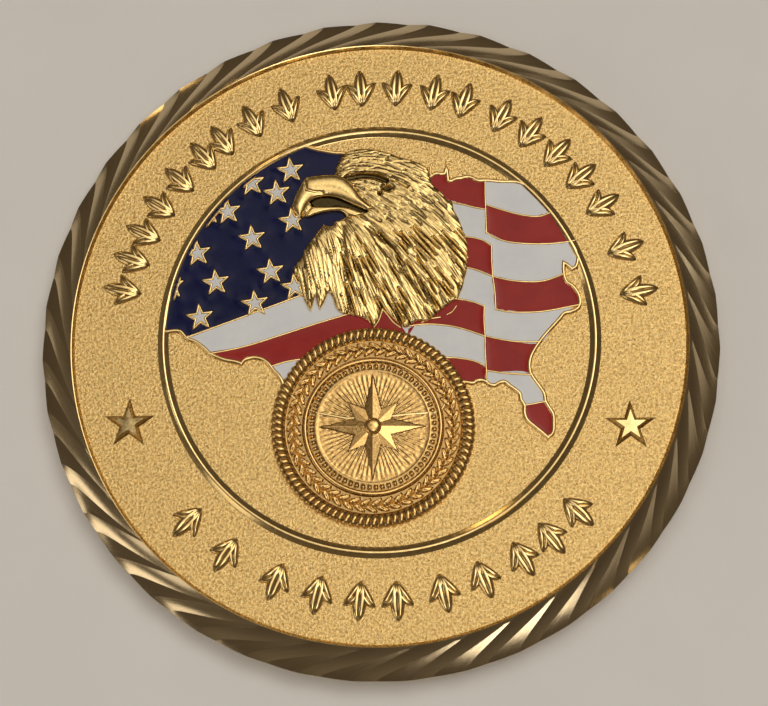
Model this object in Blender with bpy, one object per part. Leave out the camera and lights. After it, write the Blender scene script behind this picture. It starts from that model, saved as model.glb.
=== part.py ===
"""Challenge coin: one struck metal body and the soft-enamel pools that fill its pockets.

Lengths are in millimetres up to the point where a mesh is written, and +Z is the obverse's side.
The struck faces are terraces: flat or domed plateaus inside outlines, joined by upright walls.
"""
import math

import bmesh
import bpy
from mathutils import Vector
from mathutils.geometry import delaunay_2d_cdt

MM = 0.001

# Driving dimensions of the blank
COIN_R = 22.225
THICK = 3.0
MID = THICK / 2
CREST_R = 20.15
BEVEL_R = 22.0
BEVEL_Z = 0.45
BELT_Z = 0.1
CUTS = 39
CUT_DEPTH = 0.2

# Levels of the obverse, measured up from the lowest face
FIELD = 2.70
POCKET = 2.62
LINE = 2.88
ORNAMENT = 2.95
BEAD_TOP = 3.0
MEDAL_BASE = 2.98
MEDAL_RING = 3.12
HEAD_EDGE = 2.98
HEAD_RISE = 0.5

# Levels of the reverse
LAND = 0.0
LAND_IN_R = 19.3
BACK_FIELD = 0.3
BACK_RAISED = 0.12

# Rings
SLOPE_R = 19.9
BEAD_R = (13.82, 14.1, 14.38)
BAND_MID_R = 17.2
MEDAL_C = (-0.35, -5.95)
MEDAL_R = 6.6
MEDAL_LEGEND_R = 5.6
MEDAL_RING_R = (4.2, 4.57)
STRANDS = 44

# Enamel
GAP = 0.03
ENAMEL_TOP = 2.83
STAR_TIP = 0.95
STAR_FILL_TIP = 0.62
STAR_TURN = 97.0

MARK_ANGLES = (
    168.7, 161.5, 155.0, 148.0, 140.5, 133.0, 127.5, 119.5, 111.0,
    100.5, 94.0, 86.0, 77.5, 70.5,
    61.5, 54.0, 46.5, 39.0, 31.0, 20.0, 9.8,
    224.5, 235.4,
    247.6, 257.0, 266.0, 274.0,
    284.0, 293.0, 302.3, 309.8, 317.8,
)
BAND_STARS = ((-16.2, -5.6), (16.2, -6.0))
BAND_STAR_TIP = 1.35

CANTON_STARS = (
    (-5.85, 11.45), (-8.45, 10.6), (-6.75, 9.9), (-10.0, 8.65), (-5.95, 7.7),
    (-8.35, 6.8), (-11.95, 5.8), (-7.1, 4.5), (-10.7, 3.8), (-8.1, 2.35), (-11.7, 1.45),
)

HEAD = (
    (-2.9, 11.05), (-2.85, 11.5), (-2.6, 12.1), (-2.3, 12.55), (-1.5, 12.8), (-0.5, 12.85),
    (0.5, 12.6), (1.5, 12.2), (2.5, 11.95), (3.5, 11.7), (3.4, 10.7), (3.7, 10.2), (4.3, 9.6),
    (4.85, 9.1), (5.3, 7.9), (5.8, 6.5), (5.85, 5.0), (5.6, 3.8), (5.15, 2.5), (4.4, 2.0),
    (3.5, 1.25), (3.1, 1.0), (2.4, 1.0), (1.75, 0.6), (0.9, 1.3), (0.25, 1.8), (0.0, 1.1),
    (-0.3, 0.65), (-0.6, 1.0), (-1.5, 1.45), (-2.3, 1.6), (-2.9, 2.3), (-3.3, 3.0), (-3.5, 2.4),
    (-3.85, 1.85), (-4.15, 2.9), (-4.4, 1.75), (-4.7, 2.2), (-5.0, 3.0), (-5.2, 4.0), (-5.6, 4.6),
    (-5.0, 5.6), (-4.4, 6.6), (-3.8, 7.4), (-3.5, 7.6), (-2.9, 7.8), (-2.0, 8.15), (-2.5, 8.5),
    (-3.2, 8.5), (-4.0, 8.35), (-4.6, 8.15), (-4.9, 8.3), (-5.15, 8.1), (-5.5, 8.45), (-5.7, 8.8),
    (-5.4, 9.8), (-5.1, 10.4), (-4.8, 10.8), (-4.3, 10.95),
)
MOUTH = (
    (-4.5, 9.25), (-3.5, 9.5), (-2.8, 9.4), (-2.0, 9.0), (-1.2, 8.65), (-2.2, 8.8), (-3.2, 8.9),
    (-4.35, 8.85),
)

MAP = (
    (-13.95, 0.6), (-12.7, 0.5), (-12.4, 0.05), (-11.3, -0.7), (-10.5, -1.3), (-9.3, -1.6),
    (-8.7, -1.45), (-8.0, -1.35), (-7.2, -1.7), (-6.4, -2.7), (-6.2, -3.1), (0.0, -5.0),
    (5.3, -3.1), (6.2, -3.2), (7.0, -3.15), (7.8, -3.15), (8.6, -3.45), (9.2, -4.0), (9.3, -4.7),
    (9.4, -5.4), (10.0, -6.05), (11.05, -6.65), (11.35, -5.9), (11.0, -4.8), (10.75, -3.8),
    (9.95, -2.6), (10.0, -1.6), (10.7, -0.3), (12.0, 1.3), (13.1, 2.0), (13.1, 2.9), (12.3, 4.0),
    (12.3, 4.6), (12.9, 4.4), (13.1, 5.0), (13.2, 6.2), (12.0, 9.0), (10.0, 10.6), (4.5, 11.3),
    (3.0, 12.5), (-2.2, 12.75), (-5.3, 13.3), (-9.0, 11.5), (-12.5, 7.0), (-14.1, 3.0),
)
MAP_GROW = 0.16

CANTON = (
    (-12.6, 0.15), (-5.1, 2.95), (0.0, 4.0), (0.0, 11.0), (-2.3, 12.6), (-3.0, 12.65),
    (-5.2, 13.1), (-9.0, 11.4), (-12.4, 7.0), (-14.0, 3.0), (-14.0, 0.6), (-12.9, 0.5),
)

RED_CELLS = {
    "lower_left": (
        (-11.2, -0.85), (-10.6, -1.1), (-9.0, -0.65), (-6.0, 0.25), (-3.0, 1.15), (-1.0, 2.0),
        (1.0, 2.2), (2.0, 0.6), (0.0, -1.0), (-5.4, -1.45), (-6.95, -1.85), (-7.5, -1.4),
        (-8.5, -1.25), (-9.3, -1.5), (-10.5, -1.25),
    ),
    "crown": (
        (3.0, 11.1), (4.2, 11.1), (4.5, 10.55), (5.6, 10.8), (6.4, 10.6), (7.0, 10.55),
        (7.0, 8.7), (5.5, 9.05), (4.6, 9.3), (3.0, 9.9),
    ),
    "upper_right": (
        (7.15, 8.8), (8.0, 8.5), (9.3, 8.05), (10.3, 7.9), (11.6, 8.1), (12.4, 6.4), (10.5, 6.2),
        (9.0, 6.3), (8.0, 6.55), (7.2, 6.9),
    ),
    "neck_right": (
        (5.0, 6.95), (5.8, 6.7), (6.5, 6.55), (7.28, 6.25), (7.36, 4.15), (6.5, 4.45), (5.0, 4.7),
    ),
    "middle_right": (
        (7.65, 3.85), (8.5, 3.65), (10.5, 3.55), (11.5, 3.85), (12.15, 4.0), (12.2, 3.75),
        (12.9, 3.0), (13.0, 2.1), (12.0, 1.9), (10.5, 1.7), (9.5, 1.65), (8.3, 1.7), (7.7, 1.8),
    ),
    "neck_lower": (
        (5.0, 2.45), (6.0, 2.3), (6.8, 2.0), (6.8, 0.1), (5.0, 0.75), (3.0, 0.88), (2.4, 0.9),
        (2.4, 1.5),
    ),
    "lower_right": (
        (7.1, -0.1), (8.0, -0.35), (9.0, -0.5), (10.4, -0.5), (10.0, -1.0), (9.75, -1.9),
        (9.8, -2.45), (9.0, -2.4), (7.9, -2.3), (7.1, -2.15),
    ),
    "under_medallion": (
        (4.0, -1.5), (5.2, -1.5), (6.3, -1.75), (6.85, -2.1), (6.85, -2.9), (6.2, -3.0),
        (5.3, -2.95), (4.0, -2.4),
    ),
    "tip": (
        (9.6, -4.75), (10.6, -4.5), (10.9, -4.9), (11.15, -5.9), (10.95, -6.4), (10.2, -6.0),
        (9.65, -5.4),
    ),
}

WHITE_CELLS = {
    "long_left": (
        (-12.3, 0.1), (-11.3, -0.55), (-10.6, -0.95), (-9.0, -0.5), (-6.0, 0.4), (-3.0, 1.3),
        (-1.0, 2.2), (-1.0, 4.5), (-5.1, 2.8),
    ),
    "small_left": (
        (-6.9, -2.0), (-5.3, -1.6), (-5.3, -3.0), (-6.25, -2.8), (-6.6, -2.4),
    ),
    "upper_inner": (
        (4.4, 9.2), (5.5, 8.9), (7.0, 8.55), (7.05, 7.0), (7.15, 6.45), (6.3, 6.75), (5.2, 7.1),
        (4.6, 8.0),
    ),
    "upper_outer": (
        (7.15, 10.5), (8.95, 10.4), (11.5, 9.0), (11.3, 8.25), (10.3, 8.05), (9.5, 8.2),
        (8.5, 8.5), (7.15, 8.95),
    ),
    "middle_outer": (
        (7.45, 6.7), (8.0, 6.4), (9.0, 6.15), (10.5, 6.05), (12.3, 6.2), (12.9, 5.0),
        (12.75, 4.65), (12.2, 4.9), (12.15, 4.2), (11.3, 3.95), (10.4, 3.7), (8.5, 3.8),
        (7.55, 4.0),
    ),
    "folded": (
        (5.0, 4.55), (7.4, 3.95), (7.55, 1.65), (8.5, 1.5), (10.0, 1.5), (11.5, 1.7),
        (12.7, 1.9), (11.9, 1.4), (10.6, -0.3), (9.0, -0.35), (7.0, 0.0), (6.95, 2.15),
        (5.0, 2.6),
    ),
    "lower_inner": (
        (1.9, 0.7), (3.0, 0.72), (5.0, 0.58), (6.8, 0.0), (6.8, -1.95), (6.0, -1.6),
        (5.0, -1.35), (4.0, -1.35), (1.5, -0.5),
    ),
    "lower_outer": (
        (7.1, -2.35), (8.0, -2.5), (9.8, -2.65), (10.45, -3.6), (10.7, -4.35), (9.5, -4.6),
        (9.35, -4.0), (8.8, -3.45), (8.1, -3.0), (7.1, -3.05),
    ),
}


def circle(centre, radius, count, start=0.0):
    """Return a loop of points on a circle."""
    step = 2 * math.pi / count
    return [
        (centre[0] + radius * math.cos(start + i * step), centre[1] + radius * math.sin(start + i * step))
        for i in range(count)
    ]


def star(centre, tip, turn_deg=90.0):
    """Return the ten corners of a five-pointed star."""
    inner = tip * math.sin(math.radians(18)) / math.sin(math.radians(54))
    points = []
    for i in range(10):
        radius = tip if i % 2 == 0 else inner
        angle = math.radians(turn_deg + 36 * i)
        points.append((centre[0] + radius * math.cos(angle), centre[1] + radius * math.sin(angle)))
    return points


def leaf(angle_deg, radius, length, width, lean_deg):
    """Return a pointed leaf whose middle lies at a polar place, leaning from the radial line."""
    angle = math.radians(angle_deg)
    centre = Vector((radius * math.cos(angle), radius * math.sin(angle)))
    axis_angle = angle + math.radians(lean_deg)
    along = Vector((math.cos(axis_angle), math.sin(axis_angle)))
    across = Vector((-along.y, along.x))
    spots = ((-0.5, 0.0), (-0.25, 0.38), (0.05, 0.5), (0.3, 0.3), (0.5, 0.0))
    mirrored = tuple((u, -w) for u, w in reversed(spots[1:-1]))
    return [tuple(centre + along * u * length + across * w * width) for u, w in spots + mirrored]


def signed_area(loop):
    """Return a loop's area, positive when it runs anticlockwise."""
    total = 0.0
    for (x0, y0), (x1, y1) in zip(loop, loop[1:] + loop[:1]):
        total += x0 * y1 - x1 * y0
    return total / 2


def offset(loop, distance):
    """Move a loop's sides outwards by a distance, or inwards when it is negative."""
    points = [Vector(p) for p in loop]
    if signed_area(loop) < 0:
        points.reverse()
    moved = []
    for before, here, after in zip(points[-1:] + points[:-1], points, points[1:] + points[:1]):
        first = (here - before).normalized()
        second = (after - here).normalized()
        normal = Vector((first.y, -first.x)) + Vector((second.y, -second.x))
        reach = max(normal.length_squared / 2, 0.35)
        moved.append(tuple(here + normal * (distance / reach)))
    return moved


def inside(loop, x, y):
    """Tell whether a point lies inside a loop."""
    hit = False
    for (x0, y0), (x1, y1) in zip(loop, loop[1:] + loop[:1]):
        if (y0 > y) != (y1 > y) and x < x0 + (y - y0) * (x1 - x0) / (y1 - y0):
            hit = not hit
    return hit


def edge_distance(loop, x, y):
    """Return the distance from a point to the nearest side of a loop."""
    here = Vector((x, y))
    nearest = 1e9
    for start, end in zip(loop, loop[1:] + loop[:1]):
        a = Vector(start)
        span = Vector(end) - a
        t = max(0.0, min(1.0, (here - a).dot(span) / span.length_squared))
        nearest = min(nearest, (here - a - span * t).length)
    return nearest


def triangulate(loops, points=()):
    """Split the plane along closed loops, with extra points between them."""
    verts = []
    edges = []
    for loop in loops:
        first = len(verts)
        verts += [Vector(p) for p in loop]
        edges += [(first + i, first + (i + 1) % len(loop)) for i in range(len(loop))]
    verts += [Vector(p) for p in points]
    out_verts, _, faces, _, _, _ = delaunay_2d_cdt(verts, edges, [], 0, 1e-3)
    return out_verts, faces


class Region:
    """A plateau of a struck face: an outline, a hole in it if any, and its height."""

    def __init__(self, outline, height, hole=None, points=()):
        self.outline = list(outline)
        self.hole = list(hole) if hole else None
        self.height = height if callable(height) else (lambda x, y: height)
        self.points = list(points)

    def holds(self, x, y):
        """Tell whether a point belongs to the plateau."""
        if not inside(self.outline, x, y):
            return False
        return not (self.hole and inside(self.hole, x, y))


class Skin:
    """The vertices and faces of one closed mesh, with each place held once."""

    def __init__(self):
        self.bm = bmesh.new()
        self.places = {}

    def vert(self, x, y, z):
        key = (round(x, 4), round(y, 4), round(z, 4))
        if key not in self.places:
            self.places[key] = self.bm.verts.new((x * MM, y * MM, z * MM))
        return self.places[key]

    def face(self, corners):
        verts = []
        for corner in corners:
            vert = self.vert(*corner)
            if vert not in verts:
                verts.append(vert)
        if len(verts) > 2:
            self.bm.faces.new(verts)

    def terraces(self, regions):
        """Add a struck face: each region's plateau, later ones on top, and the walls between."""
        loops = [r.outline for r in regions] + [r.hole for r in regions if r.hole]
        points = [p for r in regions for p in r.points]
        verts, faces = triangulate(loops, points)
        rim = regions[0].outline
        owner = {}
        heights = [set() for _ in verts]
        sides = {}
        for index, face in enumerate(faces):
            x = sum(verts[i].x for i in face) / 3
            y = sum(verts[i].y for i in face) / 3
            if not inside(rim, x, y):
                continue
            region = [r for r in regions if r.holds(x, y)][-1]
            owner[index] = [round(region.height(verts[i].x, verts[i].y), 3) for i in face]
            for corner, z in zip(face, owner[index]):
                heights[corner].add(z)
            for k in range(3):
                ends = (face[k], face[(k + 1) % 3])
                levels = (owner[index][k], owner[index][(k + 1) % 3])
                sides.setdefault(frozenset(ends), []).append((ends, levels))
            self.face([(verts[i].x, verts[i].y, z) for i, z in zip(face, owner[index])])
        for shared in sides.values():
            if len(shared) == 2:
                self.wall(verts, heights, shared)

    def wall(self, verts, heights, shared):
        """Join two plateaus along the side they share, stopping at every level met there."""
        (ends, levels), (other_ends, other_levels) = shared
        if other_ends[0] != ends[0]:
            other_levels = (other_levels[1], other_levels[0])
        if levels == other_levels:
            return
        chains = []
        for end, one, two in zip(ends, levels, other_levels):
            low, high = min(one, two), max(one, two)
            steps = sorted(z for z in heights[end] if low <= z <= high)
            chains.append([(verts[end].x, verts[end].y, z) for z in steps])
        left, right = chains
        i = 0
        j = 0
        while i < len(left) - 1 or j < len(right) - 1:
            step_left = j == len(right) - 1 or (i < len(left) - 1 and left[i + 1][2] <= right[j + 1][2])
            if step_left:
                self.face([left[i], right[j], left[i + 1]])
                i += 1
            else:
                self.face([left[i], right[j], right[j + 1]])
                j += 1

    def to_object(self, name, material, smooth_deg=30):
        """Turn the faces outwards and write them to a named object."""
        bmesh.ops.recalc_face_normals(self.bm, faces=self.bm.faces)
        mesh = bpy.data.meshes.new(name)
        self.bm.to_mesh(mesh)
        self.bm.free()
        mesh.materials.append(material)
        mesh.shade_smooth()
        mesh.set_sharp_from_angle(angle=math.radians(smooth_deg))
        body = bpy.data.objects.new(name, mesh)
        bpy.context.scene.collection.objects.link(body)
        return body


def make_material(name, colour, roughness, metallic):
    """Make a Principled material."""
    material = bpy.data.materials.new(name)
    material.use_nodes = True
    shader = material.node_tree.nodes["Principled BSDF"]
    shader.inputs["Base Color"].default_value = (*colour, 1.0)
    shader.inputs["Roughness"].default_value = roughness
    shader.inputs["Metallic"].default_value = metallic
    return material


def cut_ring(share, below):
    """Return one ring of the diamond-cut edge, from the crest (0) to the bevel (1)."""
    sweep = 1 - (1 - share) ** 1.4
    radius = CREST_R + (BEVEL_R - CREST_R) * share
    height = THICK + (MID + BEVEL_Z - THICK) * share - below
    pitch = 360 / CUTS
    ring = []
    for i in range(CUTS):
        ridge = math.radians(i * pitch - 11 * sweep)
        valley = math.radians((i + 0.93) * pitch - 16 * sweep)
        ring.append((radius * math.cos(ridge), radius * math.sin(ridge), height))
        depth = CUT_DEPTH * share
        ring.append((radius * math.cos(valley), radius * math.sin(valley), height - depth))
    return ring


def edge_rings():
    """Return the rings of the whole edge, from the obverse crest to the reverse crest."""
    upper = [cut_ring(share, 0.0) for share in (0.0, 0.35, 0.7, 1.0)]
    grow = COIN_R / BEVEL_R
    upper.append([(x * grow, y * grow, MID + BELT_Z) for x, y, _ in upper[-1]])
    lower = [[(x, y, THICK - z) for x, y, z in ring] for ring in reversed(upper)]
    return upper + lower


def crest_loop():
    """Return the crest's outline, whose corners are the cuts' ends."""
    return [(x, y) for x, y, _ in cut_ring(0.0, 0.0)]


def scaled(loop, factor):
    """Return a loop scaled about the coin's centre."""
    return [(x * factor, y * factor) for x, y in loop]


def crest_slope(x, y):
    """Return the height between the band and the crest."""
    share = (math.hypot(x, y) - SLOPE_R) / (CREST_R - SLOPE_R)
    return FIELD + (THICK - FIELD) * max(0.0, min(1.0, share))


def bead_height(x, y):
    """Return the height of the bead ring, highest on its middle line."""
    share = 1 - abs(math.hypot(x, y) - BEAD_R[1]) / (BEAD_R[1] - BEAD_R[0])
    return LINE + (BEAD_TOP - LINE) * max(0.0, share)


def head_height(x, y):
    """Return the height of the head, domed up from its outline."""
    share = min(edge_distance(HEAD_LOOP, x, y) / 2.6, 1.0)
    return HEAD_EDGE + HEAD_RISE * (1 - (1 - share) ** 2)


def inner_points(loop, spacing, margin):
    """Return a staggered grid of points inside a loop."""
    xs = [p[0] for p in loop]
    ys = [p[1] for p in loop]
    points = []
    rows = int((max(ys) - min(ys)) / (spacing * 0.87)) + 1
    columns = int((max(xs) - min(xs)) / spacing) + 2
    for j in range(rows):
        for i in range(columns):
            x = min(xs) + (i + 0.5 * (j % 2)) * spacing
            y = min(ys) + j * spacing * 0.87
            if inside(loop, x, y) and edge_distance(loop, x, y) > margin:
                points.append((x, y))
    return points


HEAD_LOOP = list(HEAD)
BEAD_LOOPS = [circle((0, 0), r, 72) for r in BEAD_R]
MEDAL_LOOP = [
    (MEDAL_C[0] + r * math.cos(a), MEDAL_C[1] + r * math.sin(a))
    for i in range(2 * STRANDS)
    for r, a in [(MEDAL_R - 0.14 * (i % 2), math.pi * i / STRANDS)]
]


def compass_rose():
    """Return the eight-pointed rose at the middle of the medallion."""
    points = []
    for i in range(16):
        radius = (3.3, 1.0, 2.1, 1.0)[i % 4]
        angle = math.radians(90 + 22.5 * i)
        points.append((MEDAL_C[0] + radius * math.cos(angle), MEDAL_C[1] + radius * math.sin(angle)))
    return points


def rose_height(x, y):
    """Return the height of the rose, highest at its centre."""
    share = 1 - math.hypot(x - MEDAL_C[0], y - MEDAL_C[1]) / 1.0
    return MEDAL_BASE + 0.04 + 0.1 * max(0.0, share)


def band_marks():
    """Return the raised leaves of the outer band, leaning in turn to each side."""
    return [
        leaf(angle, BAND_MID_R, 2.3, 1.05, 24 if i % 2 else -24)
        for i, angle in enumerate(MARK_ANGLES)
    ]


def star_height(centre, tip, low, high):
    """Return the height function of a faceted star."""
    inner = tip * math.sin(math.radians(18)) / math.sin(math.radians(54))
    return lambda x, y: low + (high - low) * max(0.0, 1 - math.hypot(x - centre[0], y - centre[1]) / inner)


def obverse_regions():
    """Return the obverse's plateaus, in the order in which they cover each other."""
    crest = crest_loop()
    regions = [
        Region(crest, crest_slope),
        Region(scaled(crest, SLOPE_R / CREST_R), FIELD),
        Region(offset(list(MAP), MAP_GROW), LINE),
        Region(CANTON, POCKET),
    ]
    regions += [Region(cell, POCKET) for cell in (*RED_CELLS.values(), *WHITE_CELLS.values())]
    for centre in CANTON_STARS:
        regions.append(Region(star(centre, STAR_TIP, STAR_TURN), LINE))
        regions.append(Region(star(centre, STAR_FILL_TIP, STAR_TURN), POCKET))
    band = Region(scaled(crest, SLOPE_R / CREST_R), FIELD, hole=BEAD_LOOPS[2])
    bead = Region(BEAD_LOOPS[2], bead_height, hole=BEAD_LOOPS[0], points=BEAD_LOOPS[1])
    regions += [band, bead]
    regions += [Region(mark, ORNAMENT) for mark in band_marks()]
    for centre in BAND_STARS:
        height = star_height(centre, BAND_STAR_TIP, ORNAMENT - 0.1, ORNAMENT + 0.1)
        regions.append(Region(star(centre, BAND_STAR_TIP), height, points=[centre]))
    grid = inner_points(HEAD_LOOP, 0.75, 0.3)
    regions.append(Region(HEAD_LOOP, head_height, points=grid))
    regions.append(Region(MOUTH, LINE))
    regions.append(Region(MEDAL_LOOP, MEDAL_BASE + 0.08))
    regions.append(Region(circle(MEDAL_C, MEDAL_LEGEND_R, 64), MEDAL_BASE))
    regions.append(Region(circle(MEDAL_C, MEDAL_RING_R[1], 56), MEDAL_RING))
    regions.append(Region(circle(MEDAL_C, MEDAL_RING_R[0], 56), MEDAL_BASE - 0.06))
    regions.append(Region(compass_rose(), rose_height, points=[MEDAL_C]))
    return regions


def reverse_regions():
    """Return the reverse's plateaus: a flat land, a sunk field, a bead ring, a wreath and a star."""
    crest = crest_loop()
    raised = BACK_FIELD - BACK_RAISED
    regions = [
        Region(crest, LAND),
        Region(scaled(crest, LAND_IN_R / CREST_R), BACK_FIELD),
        Region(BEAD_LOOPS[2], raised, hole=BEAD_LOOPS[0]),
    ]
    for side in (-1, 1):
        for i in range(10):
            angle = 270 + side * (14 + 14.5 * i)
            regions.append(Region(leaf(angle, 10.6, 2.6, 1.5, side * 62), raised))
    regions.append(Region(star((0.0, 0.0), 5.4), star_height((0.0, 0.0), 5.4, raised, 0.1), points=[(0.0, 0.0)]))
    return regions


def make_body(material):
    """Make the struck body: obverse, diamond-cut edge and reverse."""
    skin = Skin()
    skin.terraces(obverse_regions())
    rings = edge_rings()
    for upper, lower in zip(rings, rings[1:]):
        for i in range(len(upper)):
            j = (i + 1) % len(upper)
            skin.face([upper[i], upper[j], lower[j]])
            skin.face([upper[i], lower[j], lower[i]])
    skin.terraces(reverse_regions())
    return skin.to_object("struck_body", material)


def make_fill(name, outline, material, holes=(), keep_out=()):
    """Make one enamel pool: an outline less its holes and all that stands over it."""
    shape = offset(list(outline), -GAP)
    blocks = [offset(list(loop), GAP) for loop in (*holes, *keep_out)]
    bound = scaled(BEAD_LOOPS[0], (BEAD_R[0] - GAP) / BEAD_R[0])
    verts, faces = triangulate([shape, bound, *blocks])
    skin = Skin()
    for face in faces:
        x = sum(verts[i].x for i in face) / 3
        y = sum(verts[i].y for i in face) / 3
        blocked = any(inside(block, x, y) for block in blocks)
        if inside(shape, x, y) and inside(bound, x, y) and not blocked:
            skin.face([(verts[i].x, verts[i].y, POCKET + GAP) for i in face])
    drop_islands(skin.bm)
    made = bmesh.ops.extrude_face_region(skin.bm, geom=skin.bm.faces[:])
    lifted = [item for item in made["geom"] if isinstance(item, bmesh.types.BMVert)]
    bmesh.ops.translate(skin.bm, verts=lifted, vec=(0, 0, (ENAMEL_TOP - POCKET - GAP) * MM))
    return skin.to_object(name, material)


def drop_islands(bm):
    """Keep the largest connected island of flat faces."""
    left = set(bm.faces)
    islands = []
    while left:
        stack = [left.pop()]
        island = set(stack)
        while stack:
            for edge in stack.pop().edges:
                for other in edge.link_faces:
                    if other in left:
                        left.remove(other)
                        island.add(other)
                        stack.append(other)
        islands.append(island)
    islands.sort(key=lambda island: -sum(face.calc_area() for face in island))
    for island in islands[1:]:
        bmesh.ops.delete(bm, geom=list(island), context="FACES")


def main():
    for item in list(bpy.data.objects):
        bpy.data.objects.remove(item)
    gold = make_material("plated_brass", (0.83, 0.62, 0.30), 0.3, 1.0)
    navy = make_material("navy_enamel", (0.012, 0.014, 0.06), 0.2, 0.0)
    red = make_material("red_enamel", (0.3, 0.02, 0.014), 0.25, 0.0)
    white = make_material("white_enamel", (0.6, 0.62, 0.65), 0.3, 0.0)
    make_body(gold)
    over = [HEAD_LOOP, offset(MEDAL_LOOP, 0.02)]
    stars = [star(centre, STAR_TIP, STAR_TURN) for centre in CANTON_STARS]
    make_fill("canton_enamel", CANTON, navy, holes=stars, keep_out=over)
    for name, cell in RED_CELLS.items():
        make_fill("red_enamel_" + name, cell, red, keep_out=over)
    for name, cell in WHITE_CELLS.items():
        make_fill("white_enamel_" + name, cell, white, keep_out=over)
    for number, centre in enumerate(CANTON_STARS, start=1):
        shape = star(centre, STAR_FILL_TIP, STAR_TURN)
        make_fill("star_enamel_{:02d}".format(number), shape, white, keep_out=over)


main()
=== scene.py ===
"""Looks of a struck and enamelled challenge coin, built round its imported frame.

Shapes are worked out in millimetres, with the coin's centre at x = y = 0 and its reverse land at z = 0,
and written to meshes in metres. The obverse faces +Z.
"""

import logging
import math
from dataclasses import dataclass, field
from enum import Enum
from typing import Callable, Sequence

import bpy
import numpy as np
from mathutils import Matrix, Vector


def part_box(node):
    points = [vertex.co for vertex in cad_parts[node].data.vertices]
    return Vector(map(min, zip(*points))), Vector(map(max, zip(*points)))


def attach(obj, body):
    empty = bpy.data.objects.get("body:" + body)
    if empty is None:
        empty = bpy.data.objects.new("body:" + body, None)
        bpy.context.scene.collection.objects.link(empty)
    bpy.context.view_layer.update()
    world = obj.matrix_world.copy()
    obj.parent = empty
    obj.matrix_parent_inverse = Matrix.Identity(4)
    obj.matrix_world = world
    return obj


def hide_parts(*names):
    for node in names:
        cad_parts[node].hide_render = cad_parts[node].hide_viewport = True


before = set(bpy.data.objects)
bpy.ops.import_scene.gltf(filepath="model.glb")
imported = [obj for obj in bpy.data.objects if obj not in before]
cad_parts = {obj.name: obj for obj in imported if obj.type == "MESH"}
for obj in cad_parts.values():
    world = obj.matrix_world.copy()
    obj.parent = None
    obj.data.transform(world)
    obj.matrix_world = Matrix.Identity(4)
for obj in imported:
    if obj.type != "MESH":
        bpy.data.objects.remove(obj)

Array = np.ndarray
Point = tuple[float, float]
HeightField = Callable[[Array, Array], Array]

LOG = logging.getLogger("coin")
MM = 0.001
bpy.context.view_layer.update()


def top_of(node: str) -> float:
    """Return the top level of a CAD node, in millimetres."""
    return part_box(node)[1].z / MM


def foot_of(node: str) -> float:
    """Return the lowest level of a CAD node, in millimetres."""
    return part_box(node)[0].z / MM


@dataclass(frozen=True)
class Levels:
    """Heights of the struck faces, in millimetres above the reverse land.

    Root is the hidden underside of pieces that stand on the obverse field, and wall_edge is where the
    walls between the enamel cells meet the enamel.
    """

    enamel: float = top_of("canton_enamel")
    field: float = foot_of("canton_enamel") + 0.05
    root: float = field - 0.2
    wall_edge: float = enamel - 0.05
    crest: float = 3.0
    line: float = top_of("canton_enamel") + 0.06
    back_field: float = 0.3


@dataclass(frozen=True)
class Rings:
    """Radii of the coin's circles, in millimetres."""

    coin: float = 22.225
    bevel: float = 22.21
    crest: float = 20.15
    slope: float = 19.94
    bead: float = 14.1
    bead_half: float = 0.37
    medal_x: float = -0.35
    medal_y: float = -5.95


LEVEL = Levels()
RING = Rings()


# ---------------------------------------------------------------- plane curves and noise


def as_points(points: Sequence[Point]) -> Array:
    """Return given points as an (n, 2) array."""
    return np.asarray(points, dtype=float)


def directions(path: Array, closed: bool) -> tuple[Array, Array, Array, Array]:
    """Return each point's distance to the next, the directions ahead and behind, and their mean."""
    ahead = np.roll(path, -1, axis=0) - path
    if not closed:
        ahead[-1] = ahead[-2]
    size = np.maximum(np.linalg.norm(ahead, axis=1, keepdims=True), 1e-9)
    unit = ahead / size
    behind = np.roll(unit, 1, axis=0)
    if not closed:
        behind[0] = unit[0]
    mean = unit + behind
    mean /= np.maximum(np.linalg.norm(mean, axis=1, keepdims=True), 1e-9)
    return size, unit, behind, mean


def smooth_path(points: Sequence[Point], closed: bool, corner_deg: float = 52.0, steps: int = 7) -> Array:
    """Draw a smooth curve through points, keeping the sharp corners sharp.

    Each span is a cubic whose end slopes follow the mean direction of its two neighbours, or the span's
    own direction where the path turns by more than the corner angle.

    Args:
        points: the points the curve passes through.
        closed: whether the last point joins the first.
        corner_deg: the turn, in degrees, above which a corner stays sharp.
        steps: the number of short sides drawn for each span.

    Returns:
        The curve's points, an (n, 2) array.
    """
    here = as_points(points)
    size, unit, behind, mean = directions(here, closed)
    sharp = (unit * behind).sum(axis=1, keepdims=True) < math.cos(math.radians(corner_deg))
    leave = np.where(sharp, unit, mean)
    arrive = np.where(sharp, behind, mean)
    spans = len(here) if closed else len(here) - 1
    start, end = here[:spans], np.roll(here, -1, axis=0)[:spans]
    slope0, slope1 = leave[:spans] * size[:spans], np.roll(arrive, -1, axis=0)[:spans] * size[:spans]
    t = (np.arange(steps) / steps)[None, :, None]
    curve = (
        (2 * t**3 - 3 * t**2 + 1) * start[:, None]
        + (t**3 - 2 * t**2 + t) * slope0[:, None]
        + (3 * t**2 - 2 * t**3) * end[:, None]
        + (t**3 - t**2) * slope1[:, None]
    ).reshape(-1, 2)
    return curve if closed else np.vstack([curve, here[-1:]])


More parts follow.
